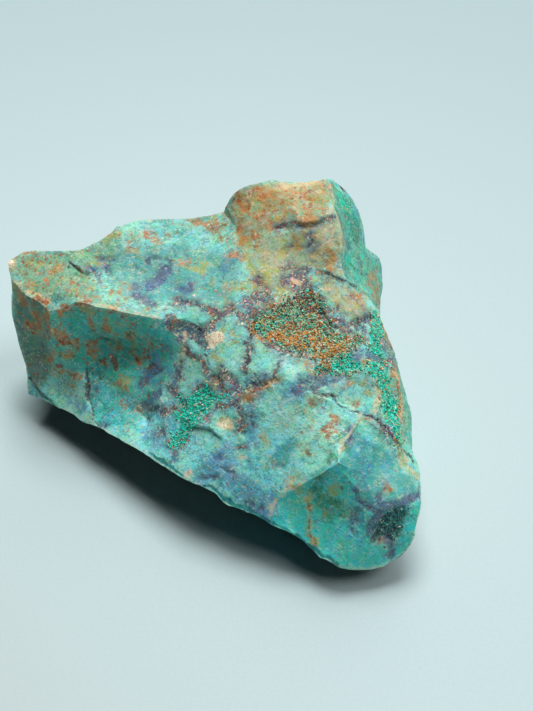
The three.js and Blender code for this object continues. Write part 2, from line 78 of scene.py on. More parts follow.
# The markings are laid out on a sheet that leans back at 45 degrees in front of the stone. A place on
# it is millimetres to the right, then millimetres up the sheet, measured from the specimen's origin.
# A stroke is its half width and then the places it runs through. Violet and umber are veins, plum is
# cracks, dark partly from their fill and partly from painted shade inside them, blue is clouds, rust and
# stain are iron, cream is white patches, buff is pale chips and worn edges and, along the summit's top,
# partly a painted highlight, olive, fern and bright are green stains, and rim is painted shade: a dark
# band along the foot of the front, standing in for the shaded lower facet under the edge.
BRIM_LINE = (
    0.6, 8, -13, 10.5, -14, 13, -14.5, 15, -15.5, 17.5, -17, 20, -18.5, 22.5, -19.5, 25, -20.5, 27, -22.5,
    29, -24.5,
)
STROKES = {
    "violet": [
        (1.6, -14, 40.5, -12, 42.5, -10, 44), (0.8, -15, 38.5, -13.5, 40),
        (1.1, -17.5, 37.5, -15.5, 36.5, -13, 35.5), (0.6, -18.5, 40, -16.5, 39),
        (0.7, -27, 48, -24.5, 47.5), (0.8, -26, 46, -25.5, 44), (0.7, -31.5, 45.5, -28.5, 43),
        (0.5, -14.5, 47, -12.5, 48), (0.3, -12, 48, -9, 46.5), (0.8, -7, 39.5, -4, 38.5, -3, 40),
        (0.5, -7.5, 35.5, -5, 35.5, -3, 35, -0.5, 35), (0.6, 29.5, 17.5, 32.5, 17, 36, 16.5),
        (1.3, 23.5, 13.5, 26, 14, 28.5, 15, 31, 16), (0.95, 25, 15, 27.5, 16.5, 29.5, 17),
        (0.7, 31, 14.5, 34, 16, 36, 16), (0.8, 3.5, 16.5, 4.5, 15.5, 5.5, 13.5),
        (0.8, 12, 14.5, 14, 15.5, 15.5, 14.5, 17, 16), (0.4, 17, 15, 19, 16), (0.6, 13, 6.5, 13.5, 5),
        (0.65, -6.5, -2.5, -6, -4, -7.5, -5.5), (0.5, -11, 3, -9, 2), (0.9, -16.5, 14, -15, 16, -13.5, 18),
        (1.05, -15.5, 9, -13.5, 10.5, -11.5, 12), (0.8, -15.5, 18, -14, 19, -12, 18),
        (0.7, -13.5, 7.5, -11.5, 8.5), (0.65, -6.5, 18, -7.5, 15, -8.5, 12.5),
        (0.5, -11, 14.5, -11.5, 12.5), (0.9, 38.5, 22, 41, 22.5, 43.5, 21.5, 45, 21),
        (0.55, 39.5, 28, 42, 27.5), (0.65, 46.5, 26, 47.5, 23.5), (0.75, 47.5, 22, 48.5, 20),
        (0.25, 19, 55.5, 21, 55.5, 23, 56),
        (0.25, 23, 56, 25.5, 56, 28, 55.5, 30.5, 56.5, 33, 57.5, 35, 57.5), (0.4, 28, 54, 29, 52, 28, 50),
        (0.6, 40.5, 29.5, 43, 31.5), (1.05, 42, -19.5, 43, -17, 44.5, -15.5),
        (1.05, 45, -14.5, 47, -14, 49.5, -13.5), (1.1, 50, -13.5, 52, -13, 54, -12.5),
        (0.85, 41.5, -20.5, 42.5, -22.5), (0.75, 46.5, -22.5, 47.5, -25, 47, -27),
        (0.5, 39.5, -13, 41, -14.5, 43, -16), (0.35, 45, -10, 44, -11.5, 43.5, -13),
        (0.5, 38.5, -15.5, 38, -18), (0.35, 38.5, -11, 39.5, -13.5), (0.55, 37, 3.5, 37.5, 1.5),
        (0.3, 37.5, -19.5, 38.5, -21.5), (0.7, 12, -13.5, 14, -14.5, 15.5, -14),
        (0.55, 12.5, -15.5, 14, -16), (0.7, -28, 3.5, -26.5, 2.5), (0.5, -31.5, 14, -30, 13),
        (0.55, 6.5, -6.5, 8.5, -7.5), (0.55, 1.5, -8, 3.5, -8.5), (0.55, 4, -3, 5.5, -4),
    ],
    # plum: the cracks, dark partly from their fill and partly as painted shade inside them
    "plum": [
        (0.3, -1, 29, 0.5, 27.5, 1.5, 24.5), (0.25, 28, 13, 30, 12, 32.5, 11.5, 35, 10, 37.5, 9, 40, 8),
        (0.25, 40, 8, 42, 7, 44, 6, 46, 4), (0.25, 46, 4, 47.5, 2, 48.5, 1),
        (0.2, 48.5, 1, 50, -0.5, 51.5, -2.5, 53, -5), (0.2, 30, 44.5, 32, 43, 34.5, 42),
        (0.1, 34.5, 42, 37, 40.5, 40, 39.5, 42, 38),
        (0.25, -32.5, 18, -32, 15, -31.5, 11, -30, 7, -28.5, 3.5),
        (0.35, -36.5, 47, -34.5, 45.5, -32.5, 44, -30.5, 43), (0.25, -36.5, 47, -36.5, 45),
        (0.7, 34.5, 22, 35, 20), (0.7, 14, 15, 15.5, 14, 17, 15), (0.3, 1.5, 22, 2.5, 19.5),
        (0.55, 12.5, 22, 12, 20.5), (0.35, -49.5, 15.5, -47, 13, -44.5, 10.5, -42, 9),
    ],
    "blue": [
        (0.3, 37.5, -15, 37.5, -18, 37, -22.5), (0.25, 39, -15.5, 40, -19.5, 39.5, -24),
        (2.95, 3.5, -5, 8.5, -8.5, 13, -11), (2.15, 15.5, -12.5, 17.5, -14.5), (1.9, 1, -8.5),
        (1.6, 6.5, -2, 8.5, -5), (1.6, -14, 1, -10.5, 0), (1.6, -8.5, 4.5, -7.5, 4), (1.6, 12.5, -4.5),
        (1.1, -31, 14, -30, 12.5), (1.6, 21.5, 13, 23.5, 12), (1.35, 11, 11.5, 13, 8),
        (1.1, 39.5, -3, 41.5, -4.5), (1.2, 11.5, 34, 12, 33), (1.35, 33, 19.5, 35, 20.5),
        (2.15, 5, 45, 7.5, 47.5), (0.8, -14, 23.5, -11, 20, -8.5, 17.5), (0.8, -10, 24.5, -7.5, 21.5),
        (1.35, 13, 3.5, 13.5, 0.5), (1.1, -32.5, 7.5, -37, 10), (0.8, 26.5, 21.5, 28, 20),
        (1.1, -14, 17.5, -11.5, 14, -11, 10.5), (0.8, 21, 36.5, 21.5, 38), (0.8, 35.5, 31.5, 37, 32),
        (0.8, 48, 12.5, 50, 10),
    ],
    "rust": [
        (0.65, 26, 8), (0.4, 28, 10), (0.75, 30.5, 4, 32, 5), (0.75, 32, 2.5, 33.5, 3),
        (0.55, 32.5, 6.5, 34, 6), (0.3, 26.5, 4.5), (0.5, 27, -2), (0.6, 24, -7.5), (0.4, 37, 14.5),
        (0.3, 29.5, 11), (0.25, 21, 5.5), (0.3, 25, 0), (0.3, 39, 10), (0.25, 18, -4.5),
        (1.2, -16, 55, -15, 53.5, -13, 52.5), (0.7, -19.5, 53, -18.5, 53.5), (0.55, -10, 54.5),
        (0.9, -4, 59, -1.5, 58, 0.5, 56.5), (1.05, 3, 60, 4, 58), (0.65, -21, 51, -18.5, 51),
        (0.45, -6, 47, -4, 47), (0.4, 3, 41.5), (0.4, 7, 39.5, 8.5, 39.5), (0.3, 6.5, 37),
        (0.65, -24.5, 34.5, -22.5, 34, -21, 33), (0.45, -30, 36, -28.5, 36), (0.45, -16.5, 33.5, -14, 34),
        (0.4, -18.5, 33), (0.9, -38, 27.5, -36.5, 26, -35, 24), (0.85, -19, 23, -17.5, 21),
        (0.6, -47.5, 30.5, -45.5, 28), (0.6, -44, 36.5, -42, 36), (0.85, -37.5, 33, -35.5, 34),
        (0.45, -21, 31, -19.5, 31), (0.45, -20, 27.5, -18.5, 26.5), (0.65, -41.5, 18, -39.5, 17),
        (0.6, -36.5, 16.5, -34, 16.5), (0.5, -39, 14, -37, 13), (0.6, -50, 38.5, -47.5, 35),
        (0.6, -42, 30.5, -40.5, 28.5), (0.45, -31.5, 25.5, -29.5, 25.5), (0.45, -28, 28, -25.5, 28.5),
        (0.65, -42.5, 20.5, -41, 23), (0.45, -30.5, 22.5, -29, 23.5), (0.4, -13.5, 24.5, -15, 23),
        (0.6, -45.5, 33.5, -42.5, 31.5, -39.5, 28), (0.4, -21.5, 10, -20, 8, -17.5, 7),
        (0.5, -23, 14.5, -20, 12), (0.9, 14.5, 64.5, 16.5, 64, 19.5, 64.5),
        (0.8, 23, 64.5, 25.5, 64, 28, 63.5), (0.8, 25.5, 57.5, 28, 57), (0.7, 33.5, 49, 34, 46.5),
        (0.7, 32, 45, 32.5, 44), (0.8, 8.5, 65, 9.5, 63, 11, 61), (0.75, 9, 56.5, 11, 54.5, 10, 51),
        (0.55, 13, 53.5), (0.75, 6.5, 47.5, 8.5, 49), (0.45, 35.5, 52.5, 35.5, 50),
        (0.25, 14, 51, 15.5, 48, 18, 46), (0.45, 17, 61), (0.45, 26.5, 61), (0.6, 22, 61, 23.5, 59.5),
        (0.45, 45, -9, 46, -10), (0.45, 27, -15, 27.5, -15), (0.25, 35, -22.5, 35, -24),
        (0.7, 44, -23, 45.5, -23), (0.3, 39, -16), (0.3, 36, -16), (0.3, 23, -10, 22.5, -10.5),
        (0.8, 48.5, 18, 49.5, 15.5, 50, 13), (0.55, 50, 12, 50.5, 8, 50.5, 4.5), (0.45, 50.5, 3.5, 51, 1),
        (0.65, 39.5, 37, 41, 37.5), (0.6, 45.5, 38, 48, 37), (0.5, 47, 45.5, 47.5, 41.5),
        (0.5, 48.5, 29, 50, 24.5), (0.55, 44.5, 41.5, 46.5, 39.5),
        (0.25, 12, 11.5, 14.5, 12.5, 17, 14, 19.5, 15.5), (0.75, 39, 18, 41, 19.5),
        (0.65, 35.5, 17.5, 37, 18), (0.35, 24, 20.5, 26, 19.5, 28, 18.5), (0.3, -17, 20.5, -15, 22),
        (0.45, 47, 38, 48, 37), (0.55, -52, 48.5, -49.5, 50), (0.55, -47.5, 50, -45.5, 48.5),
        (0.4, -48, 47.5, -46.5, 46.5), (0.45, -44.5, 47.5), (0.65, -41.5, 44.5, -40.5, 44.5),
        (0.4, -42.5, 42), (0.45, -40.5, 46.5, -39, 45), (0.4, -50, 44), (0.4, -46.5, 41.5, -47.5, 40),
        (0.4, -51.5, 41), (0.35, -43, 39.5), (0.4, -39, 40.5), (0.4, -36.5, 39), (0.35, -35, 41),
        (0.4, -32.5, 39), (0.4, -30, 40.5), (0.4, -27, 40.5, -26, 40), (0.35, -24.5, 39), (0.4, -28, 37.5),
        (0.4, -31, 37), (0.3, -33.5, 37), (0.4, -22, 39), (0.4, -20, 36.5), (0.3, -20, 40),
        (0.45, -48.5, 50), (0.85, -15, 53.5, -13, 52), (0.8, -3, 59, 0, 57.5), (0.8, 2.5, 60, 5, 57.5),
        (0.8, 0, 59.5, 2.5, 60, 5.5, 60.5), (0.65, -5, 58.5, -2.5, 59.5), (0.6, 0.5, 58, 5, 55.5),
        (0.45, 6, 52.5, 7.5, 49), (0.65, 3, 56, 5, 53.5), (0.55, 10, 50.5, 10.5, 48),
        (0.55, 14.5, 58.5, 15.5, 56), (0.7, 18.5, 63, 23, 63), (0.5, 27, 59.5, 29.5, 58.5),
        (0.45, 24.5, 53, 25.5, 49.5), (0.65, 26, 58, 28, 57, 30, 57.5), (0.6, 13, 54.5, 14, 53.5),
        (0.65, 9.5, 56, 11, 54.5), (0.55, 7.5, 64, 8.5, 61), (0.55, 13, 60, 14, 58.5),
        (0.5, 15.5, 60, 16.5, 61.5), (0.45, 33, 46, 34, 43.5), (0.8, 17, 34.5, 19.5, 34.5),
        (0.55, 14, 27, 15.5, 26), (0.45, 35.5, 17.5, 37, 18), (0.65, 45.5, 46, 46, 44),
        (0.45, 47, 41.5, 47.5, 39.5), (0.6, -25.5, 30.5, -25, 28.5), (0.5, -30, 31.5, -29.5, 29.5),
        (0.6, -42, 32, -41, 29.5, -39.5, 28), (0.6, -45.5, 30.5, -43.5, 28.5),
        (0.5, -31.5, 23.5, -30, 21.5), (0.45, -23, 24.5, -22, 24), (0.55, -37.5, 21.5, -35.5, 23),
    ],
    "cream": [
        (1.1, 2, 26.5, 4.5, 27, 4.5, 25.5, 2.5, 25), (0.65, 5.5, 5, 7.5, 5), (0.3, 10, 6.5),
        (0.55, -52.5, 48, -52.5, 46), (0.3, 13, 22), (0.25, 10, 29.5), (0.25, -2, 37.5), (0.25, -25, 21),
        (0.25, 48, -19.5),
    ],
    "buff": [
        (1.1, 5.5, 5, 8, 5), (0.55, 6.5, 4, 7.5, 4), (0.8, 44, 13.5, 44, 10.5, 43.5, 8.5),
        (0.25, 40, 8, 39, 5.5), (0.25, 39, 6, 37.5, 3.5, 35.5, 0.5, 34.5, -1),
        (0.95, -52.5, 48, -52.5, 45.5), (0.4, -3.5, -7.5, -2, -7), (0.25, -4.5, -6),
        (0.35, 10, -3, 11, -3.5), (0.25, 9, -0.5), (0.25, 35.5, -13), (0.25, -15.5, 59, -14, 58.5),
        (0.4, 33, 59, 34.5, 61.5), (0.3, 23, 41, 25, 40.5), (0.25, 7, 54, 8, 53), (0.25, 25, 14.5),
        (0.25, -32, 24), (0.25, -14.5, 23.5), (0.25, 18, -15), (0.3, -50, 13.5), (0.3, 27.5, 22),
        (0.25, 24, 14.5), (0.25, 19.5, -13, 17.5, -14.5), (0.3, 33.5, 22), (0.3, -7.5, 32.5),
        (0.25, -51.5, 41.5, -48, 39.5, -44.5, 37.5, -41, 35.5, -37.5, 33.5),
        (0.2, -37.5, 33.5, -34, 34.5, -30, 35, -26.5, 35),
        (0.2, -26.5, 35, -21.5, 33.5, -17, 32.5, -10.5, 31.5), (0.2, -4.5, 28, -4.5, 24.5, -4.5, 21),
        (0.2, 25, -7.5, 22.5, -9.5, 20, -12), (0.2, 35, 59.5, 36, 53.5, 36.5, 49),
        # the two wider strokes on the next line run along the summit's top edge and are partly a painted
        # highlight
        (0.25, 34, 68, 34.5, 61.5), (0.65, 21, 67.5, 26, 68, 30, 68.5), (0.8, 31, 65.5),
        (0.55, 11.5, 66, 12.5, 64.5), (0.3, 13.5, 63), (0.25, 49.5, 17, 50.5, 12, 50.5, 7),
        (0.2, 51, -2.5, 52, -5.5, 54, -8), (0.2, 49.5, -4, 51.5, -6.5),
    ],
    "olive": [
        (1.35, -26, 54.5, -23, 55.5), (1.2, 21, 48, 23.5, 50, 25.5, 52), (1.1, 17, 42.5, 20.5, 44),
        (1.6, 14.5, 41.5, 16.5, 42.5), (0.25, 11.5, 52.5, 11.5, 49.5, 12, 47, 13, 43.5),
        (0.9, 30, 63.5, 31.5, 63), (2.05, 20, 37.5, 21.5, 38.5), (1.2, 6, 28.5, 8, 27),
        (1.1, 3.5, 21.5, 4.5, 20), (0.7, -45, 41, -45.5, 39.5), (1.1, -32.5, 35, -29.5, 33.5),
        (0.3, 21, -6, 22.5, -8, 23.5, -10), (0.2, 29.5, -13.5), (0.15, 35.5, -16.5), (0.2, 30.5, -17),
        (0.3, 27, -14.5, 28, -19.5, 28.5, -23.5), (0.5, 33, -7.5, 32.5, -11), (0.55, 50, 4, 50, 1),
        (0.3, 50.5, -2.5, 51.5, -5.5, 53.5, -8), (0.25, 48.5, -0.5, 50.5, -4), (0.5, 16, 1.5, 17.5, 0.5),
        (0.8, 40.5, 15, 41.5, 13.5), (0.8, 8, 39.5, 12.5, 39.5), (0.45, 27, -12, 27.5, -15.5, 28, -20),
        (0.7, 28, 40.5, 30, 41.5), (0.5, -34, 40.5, -35, 38.5), (0.55, -2, 47, 0.5, 45),
        (0.65, -22.5, 16, -20, 14.5), (0.55, 1.5, 15, 3, 14), (0.45, 46.5, 14, 48, 12),
        (0.3, 11.5, 53.5, 11.5, 49.5, 12, 46.5, 13, 43.5), (0.55, 23, 50, 25, 52, 27, 54),
        (0.8, 15.5, 46, 18, 44.5), (0.8, 13.5, 40, 15.5, 41.5), (0.55, -31, 47, -30, 47.5),
        (0.7, -28.5, 46.5, -27, 46.5), (0.55, -2, 45),
    ],
    "stain": [
        (0.2, 27, -14, 27.5, -17, 28, -20.5, 28.5, -23.5), (0.2, 34.5, -9, 35, -10),
        (0.2, 31.5, -16, 32, -15.5), (0.8, -28.5, 20, -27, 19), (0.65, -24.5, 20.5, -23.5, 18),
        (0.5, -38, 26.5, -36, 25), (0.45, -40.5, 19, -38.5, 18.5), (0.4, -32, 35.5, -29, 35.5),
        (0.45, -19.5, 27.5, -18.5, 27), (0.4, -24.5, 33, -22, 33), (0.55, -37.5, 35, -36, 34.5),
        (0.5, -44.5, 36.5, -42, 35.5), (0.4, -18.5, 21.5, -17.5, 21), (0.45, 30.5, 4.5, 31.5, 4),
        (0.45, 32, 3, 32.5, 3), (0.3, 26.5, 4.5), (0.25, 27, -2), (0.4, 32.5, 6.5),
        (0.3, 13, 13.5, 15.5, 14, 18, 15.5),
    ],
    # rim: painted shade, a dark band along the front's foot for the shaded lower facet under the edge
    "rim": [
        BRIM_LINE, (0.4, -13, -3.5, -9, -5.5, -5, -8, -1, -10, 3, -11, 7, -12.5),
        (0.4, 29.5, -25, 32, -27.5, 34, -29),
    ],
    "fern": [
        (1.1, 27.5, -9.5, 29, -11.5, 31.5, -13, 34.5, -14.5), (0.8, 30, -14.5, 32.5, -16.5, 35.5, -16),
        (0.8, 29, -7.5, 31.5, -6.5), (0.65, 36, 4, 35, 1.5, 36.5, -0.5), (0.6, 31.5, -3.5, 32.5, -2),
    ],
    "bright": [
        (0.5, 37.5, 47.5, 38, 46), (0.45, 36.5, 66, 37.5, 63, 38.5, 60), (0.4, 38.5, 57.5, 39.5, 54.5),
        (0.45, 39.5, 45.5, 41, 42), (0.25, 28.5, -24.5, 30.5, -26.5), (0.45, 50, 4.5, 50.5, 2),
        (0.4, 43.5, 40.5, 45.5, 37.5), (0.3, 35.5, 68.5, 36.5, 67.5), (0.35, 43, 49, 44, 45),
    ],
    "umber": [
        (0.5, -7, 36, -3, 35.5, 0.5, 34.5, 3, 34), (1.1, 1, 34.5, 3, 33.5, 4.5, 32, 6, 33, 7.5, 34.5),
        (0.95, 4, 31.5, 3, 29.5, 1.5, 28.5), (1.1, 8, 34, 9.5, 32, 11, 30.5),
        (1.35, 12, 35.5, 14, 37, 16, 37, 17, 35.5), (1.1, 14, 34, 15.5, 33),
        (1.35, 11.5, 31.5, 13, 32, 14.5, 30.5), (0.8, 10, 30.5, 12, 29, 13.5, 27.5, 12.5, 26),
        (0.8, 14.5, 26.5, 16.5, 25, 18.5, 24, 21, 23.5, 23, 22.5), (0.8, 11.5, 24.5, 12.5, 23, 12, 20.5),
        (0.55, 11, 19.5, 12, 17.5), (0.55, 20, 21.5, 20, 19, 19, 16.5),
        (0.8, 3.5, 16.5, 5, 15, 6, 13.5, 7.5, 13), (0.7, -2, 13, -0.5, 14, 2, 13),
        (0.95, -7.5, 13, -6, 11, -4.5, 9.5), (0.55, -4.5, 23, -5, 25.5, -7, 28, -9, 30.5),
        (0.65, -4, 24, -1.5, 21.5, 0.5, 20, 2, 18), (0.55, -5.5, 17, -4.5, 20.5),
        (0.95, 7, 13, 10.5, 12, 13, 11), (0.9, 12.5, 13.5, 14.5, 15, 17, 14.5, 19.5, 16),
        (1.1, 5.5, 17.5, 8, 16.5, 9.5, 14), (0.8, 21.5, 44.5, 23.5, 44.5, 25.5, 43, 27.5, 44),
        (1.1, 21, 41, 23.5, 42.5, 25.5, 42, 27, 40.5), (1.1, 24, 39, 26, 40, 27.5, 38.5),
        (0.65, 27, 39, 29, 38, 30.5, 36.5, 31, 34.5), (0.8, 30.5, 34, 33, 33, 34.5, 34),
        (1.35, 31, 32, 32.5, 30.5, 34.5, 29.5, 36.5, 28.5),
        (0.95, 36.5, 29.5, 39, 30, 42, 30.5, 43.5, 31.5), (0.65, 14, 42, 15.5, 40, 17.5, 38.5),
        (0.5, 41, 7, 43.5, 6, 45.5, 4, 47.5, 2.5), (0.4, 42.5, 14.5, 45, 15.5),
        (0.4, 30, 44, 32, 42.5, 34, 41.5, 36.5, 40.5), (0.7, 0, 7.5, 1.5, 6, 2, 5.5),
        (0.55, 1.5, 7, 3.5, 7.5, 5, 9), (0.7, -3, 3, -4, 1, -5, -1),
        (0.45, -8.5, 0.5, -7.5, -1.5, -6.5, -3.5), (0.5, -11.5, 1.5, -9.5, 2.5),
        (0.75, 8.5, 10.5, 9.5, 9, 10, 7.5), (0.95, 10.5, 6.5, 11, 5, 10, 3.5), (0.4, 10, -0.5, 11.5, -0.5),
        (0.8, 5, 9, 7.5, 9.5, 9.5, 11), (0.6, -10, 7, -8.5, 7.5, -7, 8),
        (0.25, 19.5, 55.5, 23, 56, 25.5, 56.5, 28, 55.5, 31.5, 57, 35, 57.5),
        (0.45, 26, 54, 28, 52.5, 29, 51, 28, 49.5), (0.45, 22.5, 49.5, 24, 50.5), (0.65, 39, 37, 41, 37.5),
        (0.5, 46.5, 26, 48.5, 24.5, 50, 23), (0.55, 46.5, 20.5, 48.5, 19.5),
        (0.7, 28, 21, 26.5, 21.5, 24, 21.5), (0.65, 29.5, 17, 31.5, 18),
    ],
}

# A patch is one rim or more, each the places along it. Druse, emerald, crust and pit lie under
# crystals. The others are break faces and weathered parts with a ground colour of their own.
PATCHES = {
    "druse": [[
        13, 29.5, 14, 32.5, 16, 34, 20, 35, 23.5, 37, 26.5, 39.5, 29, 38.5, 30.5, 35, 31, 31.5, 34, 28,
        38, 27.5, 42, 28.5, 43, 26, 40, 23.5, 38, 22.5, 36.5, 20.5, 36, 18, 32.5, 17.5, 29.5, 18, 29, 21.5,
        25, 22.5, 21, 24, 16.5, 26, 13.5, 27.5,
    ]],
    "emerald": [[
        -5.5, 10.5, -3, 11.5, -1, 13, 1.5, 13, 3.5, 12, 6, 12, 6.5, 11, 4, 9.5, 2, 8.5, 0.5, 7, -0.5, 4.5,
        -2.5, 3.5, -3.5, 1, -5.5, -2, -7, -1.5, -8, 1, -6, 3.5, -6, 7.5,
    ]],
    "crust": [[
        31.5, 17.5, 34.5, 20.5, 35.5, 22.5, 38, 22.5, 39, 21, 42, 20.5, 43, 23, 42.5, 24.5, 43.5, 27.5,
        43.5, 32, 45.5, 33.5, 47.5, 30, 46.5, 24.5, 47, 20, 47.5, 14.5, 49.5, 9.5, 50, 4.5, 50, 1, 48.5, 1,
        47, 4, 45.5, 9, 45, 13, 44, 16, 41.5, 18, 38, 18.5, 35, 17.5,
    ]],
    "pit": [[
        42, -21.5, 43, -18.5, 45, -16, 47.5, -14.5, 50, -14.5, 51.5, -15, 51, -18, 50, -21.5, 47.5, -23.5,
        44.5, -24, 42.5, -23,
    ]],
    "brown": [[
        6.5, 62, 8, 64.5, 12, 66.5, 16.5, 68.5, 27, 68.5, 32, 69, 33.5, 67, 33.5, 59.5, 31, 56, 25.5, 55.5,
        20.5, 55, 15.5, 53.5, 13, 50.5, 10.5, 49.5, 8.5, 51, 7.5, 57,
    ]],
    "khaki": [
        [
            10.5, 49.5, 13, 50.5, 15.5, 53.5, 20.5, 55, 25.5, 55.5, 31, 56, 33.5, 59, 36, 57.5, 36, 50.5,
            36, 42.5, 32.5, 43.5, 29.5, 44.5, 27, 42.5, 25.5, 38.5, 17.5, 38.5, 13, 39, 11.5, 44.5,
        ],
        [
            31, 41.5, 34.5, 40.5, 38, 39, 41.5, 37, 44.5, 34, 44, 31.5, 40, 30.5, 36.5, 31, 34, 33, 32, 36,
            30.5, 39,
        ],
    ],
    "lobe": [[
        18, -15.5, 19.5, -13, 23, -10.5, 27, -8, 30.5, -5.5, 33.5, -3.5, 36.5, -5, 38.5, -8.5, 39.5, -12.5,
        43, -15.5, 47, -14.5, 54, -12.5, 54.5, -13.5, 53.5, -18.5, 52.5, -23, 49, -27, 45.5, -28.5, 39, -30,
        33.5, -29, 26, -22, 17.5, -17.5,
    ]],
    "sky": [[
        -28, 48, -22.5, 50.5, -14.5, 51, -6.5, 51.5, 3, 50, 10, 46.5, 11.5, 40, 7.5, 36, 1, 36, -7, 36.5,
        -13.5, 35, -19.5, 36.5, -24.5, 42,
    ]],
    "cyan": [[
        -31.5, 17.5, -24.5, 13, -19, 10, -15, 6, -19, 3.5, -26, 2.5, -28.5, 4, -30.5, 8.5, -31.5, 12.5,
    ]],
    "pale": [[
        15.5, 12, 25, 11.5, 28.5, 12, 36, 9, 40, 7.5, 37, 4, 35, 0, 33.5, -3, 29, -6, 24.5, -9.5, 20, -6,
        17.5, -1, 15.5, 5,
    ]],
    "scar": [[
        -52.5, 41.5, -49, 37.5, -42.5, 36, -40.5, 33.5, -33, 36, -25, 34, -16, 32, -9.5, 31.5, -6.5, 26.5,
        -6, 23.5, -8, 17, -11, 11, -15, 7, -19.5, 10.5, -24.5, 14, -32, 17.5, -40, 18, -49.5, 19,
        -50.5, 27.5,
    ]],
    "moss": [[
        -50.5, 49.5, -47, 50, -39, 50, -28.5, 53, -25, 54.5, -23, 49, -26.5, 46, -30, 40.5, -26.5, 36.5,
        -21, 33, -29, 35, -38, 36.5, -42, 33.5, -49, 41, -52, 46.5,
    ]],
    "low": [[
        -19, 3.5, -11, 10.5, -5, 3, 0, 0.5, 10.5, 3.5, 17.5, 6, 25, 1.5, 25, -6, 21.5, -11, 16.5, -16.5,
        8, -13.5, -2.5, -8.5, -13, -3,
    ]],
    "tip": [[
        33.5, -3, 38.5, 4.5, 43, 1, 48, -3.5, 52.5, -7.5, 54, -13.5, 47.5, -14.5, 43, -15.5, 39.5, -12.5,
        36.5, -5,
    ]],
    "lip": [[
        -52, 41.5, -48.5, 39.5, -43.5, 36.5, -40.5, 33.5, -41, 28.5, -42, 20.5, -44, 14.5, -46.5, 11.5,
        -49.5, 15, -51, 23.5, -52.5, 34,
    ]],
    "cleft": [[
        -10, 32.5, -7.5, 33, -5, 31, -2, 30.5, 0.5, 29, 2, 27, 2, 23, 0, 24, -2.5, 26, -4, 27, -6.5, 28,
        -8.5, 29.5,
    ]],
    "side": [
        [
            33.5, 68.5, 37.5, 67, 40.5, 64, 42.5, 57, 45, 50.5, 49, 48, 49.5, 40, 48.5, 35.5, 43, 37,
            38, 39, 36.5, 42.5, 36.5, 50.5, 35.5, 58, 33.5, 63,
        ],
        [
            48.5, 33.5, 49.5, 28, 51.5, 20.5, 53, 12.5, 54.5, 6, 53, -2, 51.5, 0, 50.5, 5.5, 50, 12,
            48.5, 17.5, 47, 23.5, 46.5, 28.5,
        ],
    ],
    # fawn: the beige top edge of the summit, partly a painted highlight where the top catches the light
    "fawn": [[
        9, 65, 13, 66.5, 17, 67.5, 26, 68.5, 31.5, 68.5, 32.5, 66, 31.5, 63, 25.5, 64, 17.5, 64, 12.5, 63.5,
        9.5, 62,
    ]],
}

# Rims of the drifts of like grains in the druse.
DRIFTS = {
    "ochre": [
        15.5, 26, 18, 28, 22.5, 26.5, 25, 28.5, 29.5, 28.5, 31.5, 26, 34.5, 24.5, 37, 23.5, 36, 22,
        33.5, 22.5, 31.5, 21.5, 30.5, 18.5, 29, 20.5, 28.5, 23, 25, 24, 21.5, 24.5, 18, 25,
    ],
    "brown": [
        19.5, 35.5, 23.5, 37, 26, 38.5, 28.5, 38, 29.5, 34.5, 29, 32, 26, 33, 23.5, 34, 21, 34,
    ],
}

# A ledge is its height and the width it fades over, in mm, and its line: it stands up on the line's left.
LEDGES = [
    (1.17, 6, -28.5, 3, -30, 7, -31.5, 11, -32, 15, -32.5, 18),
    (0.91, 4.5, -3, 3.5, 0, 4, 3, 3.5, 6.5, 0.5), (0.65, 5, -37, 47.5, -34.5, 45.5, -32.5, 44, -29.5, 43),
    (0.455, 5, 33.5, -3.5, 35, -0.5, 36.5, 1.5, 38.5, 4.5, 40, 7.5),
    (0.26, 4, 30, 44.5, 34.5, 42, 40, 39.5, 44.5, 37, 48.5, 34.5),
    (0.78, 4.5, -42, 28, -39.5, 26.5, -37.5, 22.5),
    (0.52, 4, 51.5, 3.5, 51, 10.5, 50, 17, 50.5, 23, 48.5, 29.5), (0.78, 3, -49.5, 15.5, -45, 11, -40, 7.5),
    (0.455, 3, 28.5, -24, 28, -19.5, 27, -14.5), (0.26, 3, 40, 8, 35, 10, 30, 12, 28, 13),
    (0.78, 5, -36.5, 48, -37.5, 45, -39, 40.5, -40.5, 36),
    (0.455, 3, 19, 55.5, 25.5, 56, 30.5, 56.5, 35, 57.5),
    (0.52, 3, 29.5, 40, 31, 33.5, 33, 29.5, 36.5, 28.5), (0.39, 4, 19, 15.5, 15.5, 14, 12, 14.5),
]
SCAR_CENTRE = (-20, 12, 40)  # mm: the ripples of the big hollow break run round this place
FAR = 5.0  # mm: no field is followed further than this
CHIP_SEED = 5  # the small breaks lean the same way in each run
ROOT_TWO = math.sqrt(2)  # the sheet leans back at 45 degrees
RESTING = 0.02 * MM  # what lies lower than this rests on the ground
TRIANGLE_LIMIT = 196000
FINEST_EDGE = 0.4 * MM  # shorter edges aren't halved again
FINE_BAND = 0.9  # mm: edges closer than this to a crack or a ledge are halved once more


def colour(name, description, default):
    return FloatVectorProperty(
        name=name, description=description, default=default, min=0, max=1, subtype="COLOR",
    )


def length(name, description, default, lowest=0.0):
    return FloatProperty(
        name=name, description=description, default=default, min=lowest, subtype="DISTANCE", unit="LENGTH",
    )


def angle(name, description, degrees):
    return FloatProperty(
        name=name, description=description, default=math.radians(degrees), subtype="ANGLE", unit="ROTATION",
    )


def power(name, description, default):
    return FloatProperty(name=name, description=description, default=default, min=0)


class StoneShape(bpy.types.PropertyGroup):
    """Sizes of the stone's relief."""

    grain: length("Grain height", "Height of the fine roughness", 0.07 * MM)
    chip_tilt: FloatProperty(
        name="Chip lean", description="How much the small breaks lean", default=0.09, min=0, max=1,
    )
    chip_size: length("Chip size", "Width of the small breaks", 5.0 * MM, lowest=MM)
    brim: length("Brim", "How far the lower front edge hangs down", 1.5 * MM)
    crack: length("Crack depth", "Depth of the dark cracks", 0.10 * MM)
    crisp_angle: angle("Crisp angle", "Breaks that meet at more than this stay sharp", 24)


